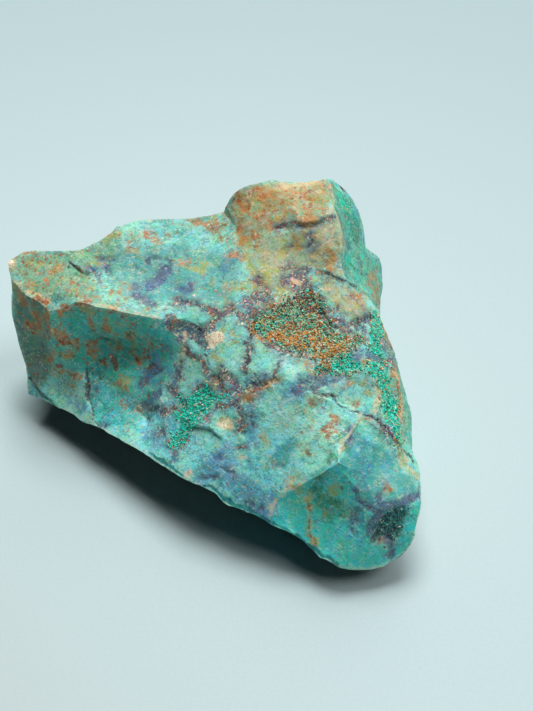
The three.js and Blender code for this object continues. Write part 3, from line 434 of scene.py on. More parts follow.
class StoneColours(bpy.types.PropertyGroup):
    """Colours of the minerals."""

    teal: colour("Teal", "Ground colour of the stone", tone(121, 221, 208))
    pale: colour("Pale teal", "Lightest ground colour", tone(156, 236, 216))
    deep: colour("Deep teal", "Fresh, smooth break faces", tone(64, 209, 197))
    blue: colour("Blue", "Blue-grey clouds", tone(78, 136, 176))
    violet: colour("Violet", "Veins between the blocks", tone(84, 78, 116))
    # the cracks' plum is partly their dark fill and partly painted shade inside them
    plum: colour("Plum", "Cracks and dark bands", tone(58, 50, 72))
    rust: colour("Rust", "Iron stains", tone(172, 96, 46))
    ochre: colour("Ochre", "Lighter parts of the iron stains", tone(204, 140, 72))
    olive: colour("Olive", "Yellow-green stains", tone(178, 176, 84))
    khaki: colour("Khaki", "Ground of the summit's face", tone(180, 178, 132))
    brown: colour("Brown", "Weathered top of the summit", tone(193, 162, 109))
    cream: colour("Cream", "White spots", tone(255, 240, 206))
    turquoise: colour("Turquoise", "Crust on the right-hand edge", tone(30, 222, 196))
    emerald: colour("Emerald", "Ground under the green crystals", tone(34, 198, 170))
    bottle: colour("Bottle green", "Ground of the dark hollow", tone(68, 124, 118))


class StudioSetup(bpy.types.PropertyGroup):
    """Camera, lights and floor."""

    distance: length("Camera distance", "From the lens to the stone", 0.266, lowest=0.05)
    elevation: angle("Camera elevation", "How steeply the camera looks down", 45)
    aim: FloatVectorProperty(
        name="Aim", description="Place that the camera looks at", default=(16.8 * MM, 5.9 * MM, 25 * MM),
        subtype="XYZ", unit="LENGTH",
    )
    lens: FloatProperty(name="Lens", description="Focal length", default=50, subtype="DISTANCE_CAMERA")
    floor: colour("Floor", "Colour of the backdrop around the stone", tone(193, 213, 215))
    # the near and far floor colours are painted shade: darker far off where the light falls away, and at the
    # front left where the stone's soft shadow spreads
    floor_near_shade: colour("Near floor", "Colour of the backdrop at the front left", tone(184, 193, 191))
    floor_far_shade: colour("Far floor", "Colour of the backdrop further off", tone(178, 200, 204))
    air: colour("Air", "Faint light from all around, which fills the shadow", (0.013, 0.015, 0.021))
    key_strength: power("Key light", "Strength of the soft light high up behind", 2.72)
    back_strength: power("Back light", "Strength of the lower light behind", 0.65)
    fill_strength: power("Fill light", "Strength of the soft light on the right", 0.95)
    softness: angle("Softness", "How wide the lights look from the stone", 38)


# --- fields on the stone -------------------------------------------------------------------------


def sheet_places(points):
    """Places on the leaning sheet, in mm, for points in metres."""
    return np.stack([points[:, 0], (points[:, 1] + points[:, 2]) / ROOT_TWO], 1) / MM


def pairs(numbers):
    """A flat run of numbers as an array of pairs."""
    return np.array(numbers, float).reshape(-1, 2)


def smooth_step(low, high, value):
    """0 up to low, 1 from high on and smooth between them. Low may be the higher one."""
    t = np.clip((value - low) / (high - low), 0, 1)
    return t * t * (3 - 2 * t)


def segment_distances(places, start, end):
    """Distance from each place to a segment, and how far along it the nearest point lies."""
    run = end - start
    along = np.clip(((places - start) @ run) / max(run @ run, 1e-9), 0, 1)
    return np.linalg.norm(places - start - along[:, None] * run, axis=1), along


def stroke_field(places, strokes):
    """Signed distance to the nearest stroke: negative inside one."""
    field = np.full(len(places), FAR)
    for half, *numbers in strokes:
        route = pairs(numbers)
        for start, end in zip(route, route[1:] if len(route) > 1 else route):
            field = np.minimum(field, segment_distances(places, start, end)[0] - half)
    return field


def patch_field(places, numbers):
    """Signed distance to the rim of a patch: negative inside it."""
    rim = pairs(numbers)
    field = np.full(len(places), FAR)
    inside = np.zeros(len(places), bool)
    for start, end in zip(rim, np.roll(rim, -1, axis=0)):
        field = np.minimum(field, segment_distances(places, start, end)[0])
        crosses = (start[1] > places[:, 1]) != (end[1] > places[:, 1])
        rise = end[1] - start[1] if end[1] != start[1] else 1e-9
        reach = start[0] + (places[:, 1] - start[1]) * (end[0] - start[0]) / rise
        inside ^= crosses & (places[:, 0] < reach)
    return np.where(inside, -field, field)


def ledge_height(places, height, fade, numbers):
    """A ledge: raised on the left hand of its line, falling back to nothing over the fade."""
    route = pairs(numbers)
    nearest = np.full(len(places), np.inf)
    side = np.zeros(len(places))
    travelled = np.zeros(len(places))
    for i, (start, end) in enumerate(zip(route, route[1:])):
        distance, along = segment_distances(places, start, end)
        run = (end - start) / np.linalg.norm(end - start)
        cross = run[0] * (places[:, 1] - start[1]) - run[1] * (places[:, 0] - start[0])
        closer = distance < nearest
        nearest[closer], side[closer] = distance[closer], cross[closer]
        travelled[closer] = (i + along[closer]) / (len(route) - 1)
    taper = smooth_step(0, 0.2, travelled) * smooth_step(0, 0.2, 1 - travelled)
    return height * taper * smooth_step(-0.2, 0.2, side) * (1 - smooth_step(0, fade, nearest))


def noise_at(points, size, offset=0.0):
    """Smooth noise of about -1 to 1, with lumps about size apart."""
    shift = Vector((offset, offset * 1.7, -offset))
    return np.array([noise.noise(Vector(p) / size + shift) for p in points])


def fractal_at(points, size, offset=0.0):
    """Rough noise: the lumps carry smaller lumps."""
    octaves, share = 3, 0.55
    return sum(noise_at(points, size / 2**i, offset + i) * share**i for i in range(octaves))


def facets_at(points, size, tilt):
    """Little flat breaks, each leaning its own way, with small steps between them, in metres."""
    jumble = 37.3  # neighbouring breaks read places this many times further apart
    heights = []
    for point in points:
        centre = noise.voronoi(Vector(point) / size)[1][0]
        lean = noise.noise_vector(centre * jumble)
        heights.append((Vector(point) - centre * size).dot(lean) * tilt)
    return np.array(heights)


# --- the stone -----------------------------------------------------------------------------------


def merged_copy(node):
    """The CAD node's mesh with its loose triangles joined."""
    shape = bmesh.new()
    shape.from_mesh(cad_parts[node].data)
    bmesh.ops.remove_doubles(shape, verts=shape.verts, dist=1e-6)
    return shape


def mark_crisp(shape, crisp_angle):
    """Marks the edges that stay sharp."""
    for edge in shape.edges:
        edge.smooth = edge.calc_face_angle(0) < crisp_angle
    for face in shape.faces:
        face.smooth = True


def refine(shape, edges):
    """Halves the edges and keeps every face a triangle."""
    bmesh.ops.subdivide_edges(shape, edges=edges, cuts=1, use_grid_fill=True)
    bmesh.ops.triangulate(shape, faces=[f for f in shape.faces if len(f.verts) > 3])


def round_off(shape, passes=2, factor=0.5, along_edges=0.4):
    """Smooths the faces and, along their own run, the sharp edges. What rests on the ground stays."""
    soft = [v for v in shape.verts if v.co.z > RESTING and all(e.smooth for e in v.link_edges)]
    for _ in range(passes):
        bmesh.ops.smooth_vert(
            shape, verts=soft, factor=factor, use_axis_x=True, use_axis_y=True, use_axis_z=True,
        )
    moves = []
    for vert in shape.verts:
        ends = [e.other_vert(vert) for e in vert.link_edges if not e.smooth]
        if len(ends) == 2 and vert.co.z > RESTING:
            moves.append((vert, vert.co.lerp((ends[0].co + ends[1].co) / 2, along_edges)))
    for vert, place in moves:
        vert.co = place


def surface(shape):
    """Points and normals of a bmesh as arrays."""
    shape.normal_update()
    points = np.array([v.co for v in shape.verts])
    normals = np.array([v.normal for v in shape.verts])
    return points, normals


def seen_from_sheet(normals, turn=0.0):
    """1 where the surface faces the leaning sheet, 0 where it faces away by more than the turn."""
    facing = (normals[:, 2] - normals[:, 1]) / ROOT_TWO
    return smooth_step(-turn, 0.14 - turn, facing)


def wild_fields(points):
    """Markings for the sides that the sheet doesn't reach: veins follow the middle of a noise."""
    def clouds(size, seed, cover, steepness):
        return (cover - fractal_at(points, size, seed)) * steepness

    def veins(size, seed, steepness, half, swell, swell_size, swell_seed):
        middle = np.abs(fractal_at(points, size, seed)) * steepness
        return middle - half - swell * noise_at(points, swell_size, swell_seed)

    return {
        "violet": veins(17 * MM, 3, 16, 0.4, 1.4, 21 * MM, 8),
        "blue": clouds(14 * MM, 11, 0.30, 14),
        "rust": clouds(8 * MM, 21, 0.58, 8),
        "olive": clouds(12 * MM, 31, 0.50, 12),
        "brown": clouds(24 * MM, 41, 0.40, 18),
        "umber": veins(19 * MM, 13, 15, 0.3, 1.8, 16 * MM, 18),
        "moss": clouds(19 * MM, 51, 0.16, 14),
        "tip": clouds(17 * MM, 61, 0.10, 14),
    }


def mark_fields(points, normals):
    """Every marking as a signed distance in mm, drawn on the sheet's side and scattered elsewhere."""
    places = sheet_places(points)
    for size, sway, seed in ((4 * MM, 0.9, 81), (1.7 * MM, 0.45, 91)):
        places += sway * np.stack([noise_at(points, size, seed), noise_at(points, size, seed + 5)], 1)
    fields = {name: stroke_field(places, strokes) for name, strokes in STROKES.items()}
    for name, rims in PATCHES.items():
        fields[name] = np.minimum.reduce([patch_field(places, rim) for rim in rims])
    fields["druse"] = np.minimum(fields["druse"], fields["crust"])
    hidden = 1 - seen_from_sheet(normals)
    beyond = 1 - seen_from_sheet(normals, 0.4)
    for name, field in fields.items():
        fields[name] = field + (beyond if name == "rim" else hidden) * 2 * FAR
    for name, field in wild_fields(points).items():
        fields[name] = np.minimum(fields[name], field + (1 - hidden) * 2 * FAR)
    return {name: np.clip(field, -FAR, FAR) for name, field in fields.items()}


def relief(points, normals, fields, sizes):
    """Height to add at each point, in metres."""
    fresh = np.maximum(smooth_step(0.5, -1.5, fields["lobe"]), smooth_step(0.5, -1.5, fields["scar"]))
    rough = 1 - 0.72 * fresh  # the fresh, smooth breaks keep little of the roughness
    grain = sum(
        share * noise_at(points, size, seed)
        for share, size, seed in ((1, 3.1 * MM, 0), (0.55, 1.4 * MM, 5), (0.3, 0.7 * MM, 9))
    )
    chips = sum(facets_at(points, sizes.chip_size * size, sizes.chip_tilt) for size in (1, 0.45))
    height = (sizes.grain * grain + chips) * rough
    # ledges, ripples and hollows, in mm, on the side that the sheet sees
    places = sheet_places(points)
    drawn = sum(ledge_height(places, *ledge[:2], ledge[2:]) for ledge in LEDGES)
    from_centre = np.linalg.norm(points / MM - np.array(SCAR_CENTRE), axis=1)
    pace = 2.6  # of the ripples, in radians for each mm
    ripples = np.sin(from_centre * pace) * smooth_step(34, 14, from_centre)
    drawn += 0.10 * ripples * smooth_step(0.5, -1.0, fields["scar"])
    crystals = np.minimum(fields["druse"], np.minimum(fields["emerald"], fields["pit"]))
    pitted = 1 + noise_at(points, 0.8 * MM, 25)
    for depth, field, rim, floor in (
        (0.25, fields["violet"], 0.5, -0.1), (0.35, crystals, 0.4, -0.8), (0.7, fields["pit"], 0.2, -2.0),
        (0.12, fields["cleft"], 0.4, -1.0), (0.16 * pitted, fields["umber"], 0.4, -0.5),
    ):
        drawn -= depth * smooth_step(rim, floor, field)
    visible = seen_from_sheet(normals)
    height += visible * MM * drawn
    height += 0.3 * MM * noise_at(points, 0.9 * MM, 15) * smooth_step(0.3, -0.3, crystals)
    height -= visible * sizes.crack * smooth_step(0.3, -0.3, fields["plum"])
    return height * smooth_step(RESTING, 3 * MM, points[:, 2])


def edges_by_fine_lines(shape):
    """The longer edges near a crack or a ledge, as many as the limit of triangles has room for."""
    points, normals = surface(shape)
    ledges = [(0.0, *line) for _, _, *line in LEDGES]
    lines = np.minimum(mark_fields(points, normals)["plum"], stroke_field(sheet_places(points), ledges))
    out_of_reach = 9.0  # mm: added where the surface faces away from the sheet
    lines += out_of_reach * (1 - seen_from_sheet(normals))
    shape.verts.index_update()
    near = [
        e for e in shape.edges
        if min(lines[v.index] for v in e.verts) < FINE_BAND and e.calc_length() > FINEST_EDGE
    ]
    added_by_each = 4
    return near[: (TRIANGLE_LIMIT - len(shape.faces)) // added_by_each]


def mean_of_neighbours(ends, values):
    """For each point, the mean of its neighbours' values."""
    total = np.zeros_like(values)
    count = np.zeros_like(values)
    for a, b in ((0, 1), (1, 0)):
        np.add.at(total, ends[:, a], values[ends[:, b]])
        np.add.at(count, ends[:, a], 1)
    return total / count


def bulge_of(shape, points, normals):
    """How far each point stands above its neighbours, in mm: ridges above 0, hollows below it."""
    ends = np.array([[v.index for v in e.verts] for e in shape.edges])
    bulge = ((points - mean_of_neighbours(ends, points)) * normals).sum(1) / MM
    return (bulge + mean_of_neighbours(ends, bulge)) / 2


def move_verts(shape, points):
    for vert, place in zip(shape.verts, points):
        vert.co = place
    shape.verts.index_update()


def store(mesh, name, values):
    """Keeps a value for each point in the mesh, for the finish to read."""
    attribute = mesh.attributes.new(name, "FLOAT", "POINT")
    attribute.data.foreach_set("value", np.ascontiguousarray(values, np.float32))


def place_object(context, name, data):
    """Puts a mesh, a light or a camera in the scene."""
    made = bpy.data.objects.new(name, data)
    context.scene.collection.objects.link(made)
    return made


class SPECIMEN_OT_stone(bpy.types.Operator):
    """Build the stone from its break faces, with relief, markings and finish"""

    bl_idname = "specimen.stone"
    bl_label = "Stone"

    def execute(self, context):
        noise.seed_set(CHIP_SEED)
        sizes = context.scene.stone_shape
        shape = merged_copy("rock")
        mark_crisp(shape, sizes.crisp_angle)
        for _ in range(2):
            refine(shape, shape.edges[:])
            round_off(shape)
        refine(shape, edges_by_fine_lines(shape))
        points, normals = surface(shape)
        fields = mark_fields(points, normals)
        brim = sizes.brim * smooth_step(3.8, 0.2, stroke_field(sheet_places(points), [BRIM_LINE]))
        points += normals * relief(points, normals, fields, sizes)[:, None]
        points[:, 1:] -= brim[:, None] / ROOT_TWO  # the brim hangs down along the sheet
        move_verts(shape, np.clip(points, *np.array(CAD_BOX)))
        points, normals = surface(shape)
        # the underside is darkened as painted shade, but not what overhangs near the summit
        facing_down = smooth_step(-0.15, -0.75, normals[:, 2])
        fields["bulge"] = bulge_of(shape, points, normals)
        fields["under"] = facing_down * smooth_step(50 * MM, 40 * MM, points[:, 2])
        mesh = bpy.data.meshes.new("stone")
        shape.to_mesh(mesh)
        shape.free()
        for name, field in fields.items():
            store(mesh, name, field)
        mesh.materials.append(stone_finish(context.scene.stone_colours))
        stone = place_object(context, "stone", mesh)
        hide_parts("rock")
        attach(stone, "root")
        return {"FINISHED"}


# --- finishes ------------------------------------------------------------------------------------


class Tree:
    """A short hand for a material's nodes."""

    def __init__(self, name):
        self.material = bpy.data.materials.new(name)
        self.material.use_nodes = True
        self.nodes = self.material.node_tree.nodes
        self.links = self.material.node_tree.links
        self.shader = self.nodes["Principled BSDF"]
        self.place = self.add("ShaderNodeTexCoord").outputs["Object"]

    def feed(self, socket, value):
        """Links a socket to another, or sets it to a value."""
        if isinstance(value, bpy.types.NodeSocket):
            self.links.new(value, socket)
        elif hasattr(value, "__len__") and len(value) == 3 and len(socket.default_value) == 4:
            socket.default_value = (*value, 1)
        else:
            socket.default_value = value

    def add(self, kind, settings=None, **inputs):
        node = self.nodes.new(kind)
        for name, value in (settings or {}).items():
            setattr(node, name, value)
        for name, value in inputs.items():
            self.feed(node.inputs[name.replace("_", " ")], value)
        return node

    def finish(self, **inputs):
        """Feeds the shader's own inputs."""
        for name, value in inputs.items():
            self.feed(self.shader.inputs[name.replace("_", " ")], value)

    def field(self, name):
        return self.add("ShaderNodeAttribute", {"attribute_name": name}).outputs["Fac"]

    def tint(self, name):
        return self.add("ShaderNodeAttribute", {"attribute_name": name}).outputs["Color"]

    def clouds(self, size, detail=2.0, roughness=0.55, seed=0.0, place=None, output="Fac"):
        """Noise of about 0 to 1 with lumps of a size in metres."""
        return self.add(
            "ShaderNodeTexNoise", {"noise_dimensions": "4D"}, Vector=self.place if place is None else place,
            W=seed, Scale=1 / size, Detail=detail, Roughness=roughness,
        ).outputs[output]

    def cells(self, size, place):
        """Little cells of a size in metres: the distance to the middle, and three random channels."""
        outputs = self.add("ShaderNodeTexVoronoi", Vector=place, Scale=1 / size).outputs
        return outputs["Distance"], self.add("ShaderNodeSeparateColor", Color=outputs["Color"]).outputs

    def reckon(self, operation, *values):
        node = self.add("ShaderNodeMath", {"operation": operation})
        for socket, value in zip(node.inputs, values):
            self.feed(socket, value)
        return node.outputs[0]

    def sum(self, a, b):
        return self.reckon("ADD", a, b)

    def less(self, a, b):
        return self.reckon("SUBTRACT", a, b)

    def product(self, a, b):
        return self.reckon("MULTIPLY", a, b)

    def swing(self, value, amount):
        """A noise of 0 to 1 as a swing about 0."""
        return self.reckon("MULTIPLY_ADD", value, 2 * amount, -amount)

    def least(self, first, *others):
        for other in others:
            first = self.reckon("MINIMUM", first, other)
        return first

    def least_field(self, *names):
        """The signed distance to the nearest of some markings."""
        return self.least(*(self.field(name) for name in names))

    def rise(self, value, low, high, bottom=0.0, top=1.0):
        """Smoothly from bottom to top as value goes from low to high."""
        return self.add(
            "ShaderNodeMapRange", {"interpolation_type": "SMOOTHSTEP"},
            Value=value, From_Min=low, From_Max=high, To_Min=bottom, To_Max=top,
        ).outputs["Result"]

    def mix(self, factor, a, b, blend="MIX"):
        node = self.add("ShaderNodeMix", {"data_type": "RGBA", "blend_type": blend, "clamp_factor": True})
        for index, value in ((0, factor), (6, a), (7, b)):
            self.feed(node.inputs[index], value)
        return node.outputs[2]

    def scale_and_shift(self, vector, factor, shift):
        """A vector or colour times a factor, plus a shift, each channel by itself."""
        node = self.add("ShaderNodeVectorMath", {"operation": "MULTIPLY_ADD"})
        for socket, value in zip(node.inputs, (vector, factor, shift)):
            self.feed(socket, value)
        return node.outputs[0]

    def shaken_place(self, size, detail, reach):
        """Places moved about by a noise, which makes cells ragged."""
        shake = self.add("ShaderNodeTexNoise", Vector=self.place, Scale=1 / size, Detail=detail)
        return self.scale_and_shift(shake.outputs["Color"], reach, self.place)


class StonePaint(Tree):
    """The stone's colour, laid on coat by coat. A marking covers the ground where its signed distance,
    in mm, is below 0. Noises of five sizes mottle it and four more fray the markings' rims."""

    FRAYS = (11, 21, 31, 41)  # seeds of the noises that fray a marking's rim

    def __init__(self, name, colours):
        super().__init__(name)
        self.colours = colours
        self.broad = self.clouds(11 * MM, 3)
        self.wide = self.clouds(6.5 * MM, 3, 0.6, seed=3)
        self.middle = self.clouds(2.6 * MM, 4, 0.65, seed=5)
        self.small = self.clouds(1.1 * MM, 3, 0.7, seed=7)
        self.fine = self.clouds(0.42 * MM, 2, 0.7, seed=9)
        self.grains = self.rise(self.fine, 0.36, 0.58, 0.25, 1)
        self.frays = {}
        for seed in self.FRAYS:
            coarse = self.clouds(2.6 * MM, 2, 0.6, seed=seed)
            crisp = self.clouds(0.75 * MM, 3, 0.8, seed=seed + 1)
            self.frays[seed] = self.product(self.sum(coarse, crisp), 0.5)
        self.ground = self.mix(self.rise(self.broad, 0.36, 0.64), colours.teal, colours.pale)
        self.weathered = self.least_field("moss", "brown", "lip")
        # grains show half as much on the lobe and its tip, and fibres less on the even faces too
        self.speckled = self.rise(self.least_field("lobe", "tip"), 0, 1, 0.5, 1)
        even = self.least(self.field("sky"), self.weathered, self.least_field("khaki", "scar"))
        self.fibrous = self.product(self.speckled, self.rise(even, -1.5, 1.5, 0.35, 1))

    def mask(self, name, fray, edge, raggedness, strength=1.0, grainy=False, reach=0.0):
        """How far a marking covers the ground: its rim fades over the edge and is frayed by a noise."""
        value = self.sum(self.field(name), self.swing(self.frays[fray], raggedness))
        cover = self.rise(value, reach + edge, reach - edge, 0, strength)
        return self.product(cover, self.grains) if grainy else cover

    def veinlets(self, seed, size, width):
        """Thin wandering lines where a noise crosses its middle."""
        off = self.reckon("ABSOLUTE", self.less(self.clouds(size, 3, 0.6, seed=seed), 0.5))
        return self.rise(off, width, width * 0.3)

    def mottled(self, noise_value, low, high, first, second):
        return self.mix(self.rise(noise_value, low, high), first, second)

    def coat(self, cover, paint):
        self.ground = self.mix(cover, self.ground, paint)

    def marking(self, name, fray, edge, raggedness, strength, paint, grainy=False, reach=0.0):
        self.coat(self.mask(name, fray, edge, raggedness, strength, grainy, reach), paint)

    def lay_ground(self):
        """Turquoise clouds, then the ground colour of each break face."""
        colours = self.colours
        self.coat(self.rise(self.wide, 0.50, 0.66, 0, 0.45), tone(104, 190, 202))
        self.coat(self.rise(self.wide, 0.48, 0.34, 0, 0.4), tone(142, 208, 166))
        flank = self.mottled(self.middle, 0.40, 0.56, tone(66, 132, 114), tone(92, 182, 154))
        flank = self.mix(self.rise(self.wide, 0.50, 0.60, 0, 0.85), flank, tone(36, 204, 172))
        khaki = self.mottled(self.wide, 0.42, 0.56, colours.khaki, tone(156, 180, 143))
        brown = self.mottled(self.middle, 0.42, 0.56, colours.brown, tone(150, 176, 136))
        # a face's name, the seed of its fray, edge, raggedness, strength and colour
        for face in (
            ("pale", 21, 1.5, 5.0, 0.6, colours.pale),
            ("sky", 31, 2.0, 4.0, 0.85, tone(90, 170, 160)),
            ("moss", 11, 2.5, 6.0, 0.85, tone(114, 167, 124)),
            ("low", 41, 2.5, 5.0, 0.8, tone(122, 226, 226)),
            ("cyan", 11, 0.6, 2.0, 0.9, tone(74, 214, 210)),
            ("tip", 31, 1.2, 4.0, 0.8, tone(62, 164, 164)),
            ("lobe", 21, 0.5, 1.2, 0.92, colours.deep),
            ("scar", 31, 0.8, 2.0, 0.92, tone(68, 194, 178)),
            ("side", 21, 0.8, 4.0, 0.9, flank),
            ("lip", 11, 1.0, 3.0, 0.8, tone(108, 133, 112)),
            ("khaki", 41, 1.2, 6.0, 0.9, khaki),
            ("brown", 11, 1.2, 6.0, 0.88, brown),
            # fawn is partly a painted highlight on the summit's top edge
            ("fawn", 31, 0.6, 4.0, 0.5, tone(206, 168, 122)),
        ):
            self.marking(*face)

    def mottle_ground(self):
        """Olive streaks on the summit, light and dark clouds and hair-thin veinlets."""
        streaks = self.rise(self.clouds(2.2 * MM, 3, 0.65, seed=63), 0.52, 0.62, 0, 0.5)
        summit = self.rise(self.least_field("khaki", "brown"), 0.6, -0.6)
        self.coat(self.product(streaks, summit), self.colours.olive)
        top = self.rise(self.field("brown"), 2.5, -1.5, 0, 0.75)
        self.coat(self.product(self.veinlets(75, 3.4 * MM, 0.03), top), tone(206, 134, 62))
        dusk = self.mix(0.45, self.ground, tone(48, 116, 128))
        self.coat(self.rise(self.middle, 0.46, 0.32, 0, 0.5), dusk)
        self.coat(self.rise(self.middle, 0.54, 0.70, 0, 0.28), tone(160, 232, 206))
        light_parts = self.rise(self.wide, 0.42, 0.58, 0, 0.4)
        self.coat(self.product(self.veinlets(71, 4 * MM, 0.022), light_parts), tone(206, 220, 176))
        dark_parts = self.rise(self.broad, 0.62, 0.44, 0, 0.45)
        self.coat(self.product(self.veinlets(73, 5 * MM, 0.024), dark_parts), tone(80, 92, 116))

    def stain(self):
        """Blue, olive and green stains, and the crusts that the crystals stand on."""
        colours = self.colours
        fern = self.mottled(self.small, 0.40, 0.60, tone(30, 104, 86), tone(86, 142, 96))
        druse = self.mottled(self.small, 0.4, 0.6, tone(170, 142, 106), tone(140, 190, 156))
        hollow = self.mottled(self.small, 0.4, 0.6, colours.bottle, colours.plum)
        for stain in (
            ("blue", 21, 1.0, 7.0, 0.75, colours.blue, True),
            ("olive", 41, 0.8, 7.0, 0.7, colours.olive),
            ("fern", 31, 1.2, 4.0, 0.85, fern),
            ("bright", 21, 0.5, 3.4, 0.9, tone(30, 216, 184)),
            ("druse", 11, 1.0, 5.0, 0.85, druse),
            ("crust", 21, 0.5, 5.0, 0.9, colours.turquoise),
            ("emerald", 31, 0.5, 4.0, 0.75, colours.emerald),
            ("pit", 41, 1.0, 4.0, 0.7, hollow),
        ):
            self.marking(*stain)

    def umber_grains(self):
        """Dark grains of every hue, with a few rusty, teal and pale ones among them."""
        share = self.cells(0.45 * MM, self.place)[1]
        umber = self.mix(share["Red"], tone(62, 54, 80), tone(128, 112, 114))
        for channel, low, high, grain in (
            ("Green", 0.84, 0.88, tone(182, 124, 78)), ("Green", 0.20, 0.16, tone(84, 150, 142)),
            ("Blue", 0.95, 0.97, tone(226, 206, 176)),
        ):
            umber = self.mix(self.rise(share[channel], low, high), umber, grain)
        return umber

    def vein(self):
        """Violet and umber veins, each with a softer halo, the dark cleft and the cracks, whose darkness is
        partly painted shade.
        """
        umber = self.umber_grains()
        violet = self.mottled(self.small, 0.38, 0.62, self.colours.violet, tone(88, 114, 146))
        cleft = self.mottled(self.small, 0.40, 0.60, tone(60, 52, 76), tone(84, 112, 126))
        self.marking("violet", 11, 1.0, 6.0, 0.5, tone(104, 128, 146), reach=0.7)
        self.marking("violet", 11, 0.35, 3.6, 0.95, violet, grainy=True)
        self.marking("umber", 21, 0.9, 3.0, 0.5, tone(92, 112, 120), reach=0.9)
        self.marking("umber", 21, 0.25, 2.6, 0.9, umber)
        self.marking("cleft", 31, 0.4, 2.0, 0.9, cleft)
        in_cleft = self.mask("cleft", 11, 0.4, 2.0, 0.8)
        self.coat(self.product(in_cleft, self.rise(self.middle, 0.50, 0.60)), umber)
        # plum cracks: partly their dark fill, partly painted shade inside them
        self.marking("plum", 31, 0.22, 1.3, 0.85, self.colours.plum)

    def rust(self):
        """Iron stains with a halo, fainter on the lobe, and buff and brown ones over them; the buff along the
        summit's top edge is partly a painted highlight.
        """
        colours = self.colours
        off_lobe = self.rise(self.field("lobe"), -0.5, 0.5, 0.4, 1.0)
        halo = self.mask("rust", 41, 1.2, 7.0, 0.5, reach=0.6)
        self.coat(self.product(halo, off_lobe), tone(160, 170, 120))
        middle = self.mask("rust", 41, 0.35, 5.0, 0.95, True, -0.1)
        iron = self.mottled(self.small, 0.4, 0.62, colours.rust, colours.ochre)
        self.coat(self.product(middle, off_lobe), iron)
        # buff: pale chips and worn edges, and on the summit's top edge partly a painted highlight
        self.marking("buff", 31, 0.3, 1.8, 0.7, tone(222, 206, 160), reach=0.1)
        brown = self.mottled(self.small, 0.4, 0.6, tone(118, 70, 46), tone(150, 92, 56))
        self.marking("stain", 31, 0.35, 1.8, 0.85, brown)

    def freckle(self):
        """Crisp rust spots, which crowd on the weathered parts."""
        ragged = self.shaken_place(0.7 * MM, 2.0, (1.3 * MM, 1.0 * MM, 1.0 * MM))
        distance, kind = self.cells(1.25 * MM, ragged)
        worn = self.least(self.weathered, self.sum(self.field("scar"), 1.5))
        crowd = self.rise(self.sum(worn, self.swing(self.broad, 6)), 2.5, -2.5, 0.02, 0.30)
        chosen = self.rise(self.less(kind["Red"], crowd), 0.0, -0.01)
        spot = self.rise(self.sum(distance, self.swing(kind["Blue"], 0.14)), 0.42, 0.30)
        off_lobe = self.rise(self.field("lobe"), -1, 0.5, 0.15, 0.8)
        rust = self.mix(kind["Green"], tone(132, 78, 46), tone(186, 126, 66))
        self.coat(self.product(chosen, self.product(spot, off_lobe)), rust)

    def speckle(self):
        """Small grains of the other minerals: a threshold for each picks the cells that have one."""
        distance, hue = self.cells(0.7 * MM, self.shaken_place(0.9 * MM, 1.0, (1.1 * MM,) * 3))
        dot = self.rise(distance, 0.52, 0.30)
        in_rust = self.rise(self.clouds(7 * MM, 3, 0.6, seed=51), 0.42, 0.64, 1.0, 0.78)
        rusty = self.less(in_rust, self.rise(self.least_field("moss", "brown"), 1.5, -1.5, 0, 0.14))
        purple = self.rise(self.clouds(6 * MM, 3, 0.6, seed=61), 0.42, 0.64, 1.0, 0.74)
        for channel, threshold, grain, strength in (
            ("Red", rusty, self.colours.rust, 0.6), ("Green", purple, self.colours.violet, 0.45),
            ("Blue", 0.9, tone(230, 226, 190), 0.4),
        ):
            chosen = self.rise(self.less(hue[channel], threshold), 0, 0.01, 0, strength)
            self.coat(self.product(self.product(chosen, self.speckled), dot), grain)

    def fibres(self):
        """Short light and dark streaks that lean two ways."""
        stretch = (5, 1, 1)
        for turn, seed, light, dark in (
            ((0, 0.36, -0.39), 81, 0.7, 0.45), ((0, -0.42, 0.46), 91, 0.8, 0.32),
        ):
            along = self.add(
                "ShaderNodeMapping", {"vector_type": "TEXTURE"},
                Vector=self.place, Rotation=turn, Scale=stretch,
            ).outputs[0]
            fibre = self.clouds(0.5 * MM, 2, 0.6, seed=seed, place=along)
            self.coat(self.product(self.rise(fibre, 0.61, 0.67, 0, light), self.fibrous), tone(190, 236, 208))
            self.coat(self.product(self.rise(fibre, 0.42, 0.32, 0, dark), self.fibrous), tone(44, 108, 122))

    def drift(self):
        """Lets each colour channel wander a little on its own: red most, green least."""
        spread, lowest = (1.6, 0.24, 1.1), (0.22, 0.88, 0.46)
        for size, seed in ((3.2 * MM, 101), (0.8 * MM, 103)):
            wander = self.clouds(size, 3, 0.7, seed=seed, output="Color")
            self.ground = self.mix(1, self.ground, self.scale_and_shift(wander, spread, lowest), "MULTIPLY")

    def painted_shade_and_wear(self):
        """Dark and light grain, ridges lightened as worn edges and partly a painted highlight, hollows
        darkened as painted shade, the underside darkened as painted shade, and the dark foot of the front,
        also painted shade.
        """
        shadow = self.mix(0.6, self.ground, tone(30, 62, 66))
        self.coat(self.product(self.rise(self.fine, 0.46, 0.30, 0, 0.36), self.fibrous), shadow)
        self.coat(self.product(self.rise(self.fine, 0.54, 0.70, 0, 0.25), self.fibrous), tone(210, 240, 210))
        bulge = self.field("bulge")
        # ridges: pale, partly worn edges and partly a painted highlight
        ridges = self.product(self.rise(bulge, 0.02, 0.12, 0, 0.5), self.rise(self.small, 0.42, 0.58))
        self.coat(ridges, tone(196, 220, 188))
        # hollows: painted shade darkens them
        self.coat(self.rise(bulge, -0.02, -0.12, 0, 0.55), tone(56, 66, 76))
        # painted shade: the underside is made dark
        self.coat(self.rise(self.field("under"), 0, 1, 0, 0.85), tone(58, 60, 54))
        # rim: painted shade, a dark band along the front's foot for the shaded lower facet under the edge
        rim = self.mottled(self.small, 0.40, 0.60, tone(22, 96, 104), tone(36, 132, 126))
        self.marking("rim", 11, 0.25, 0.8, 0.9, rim)


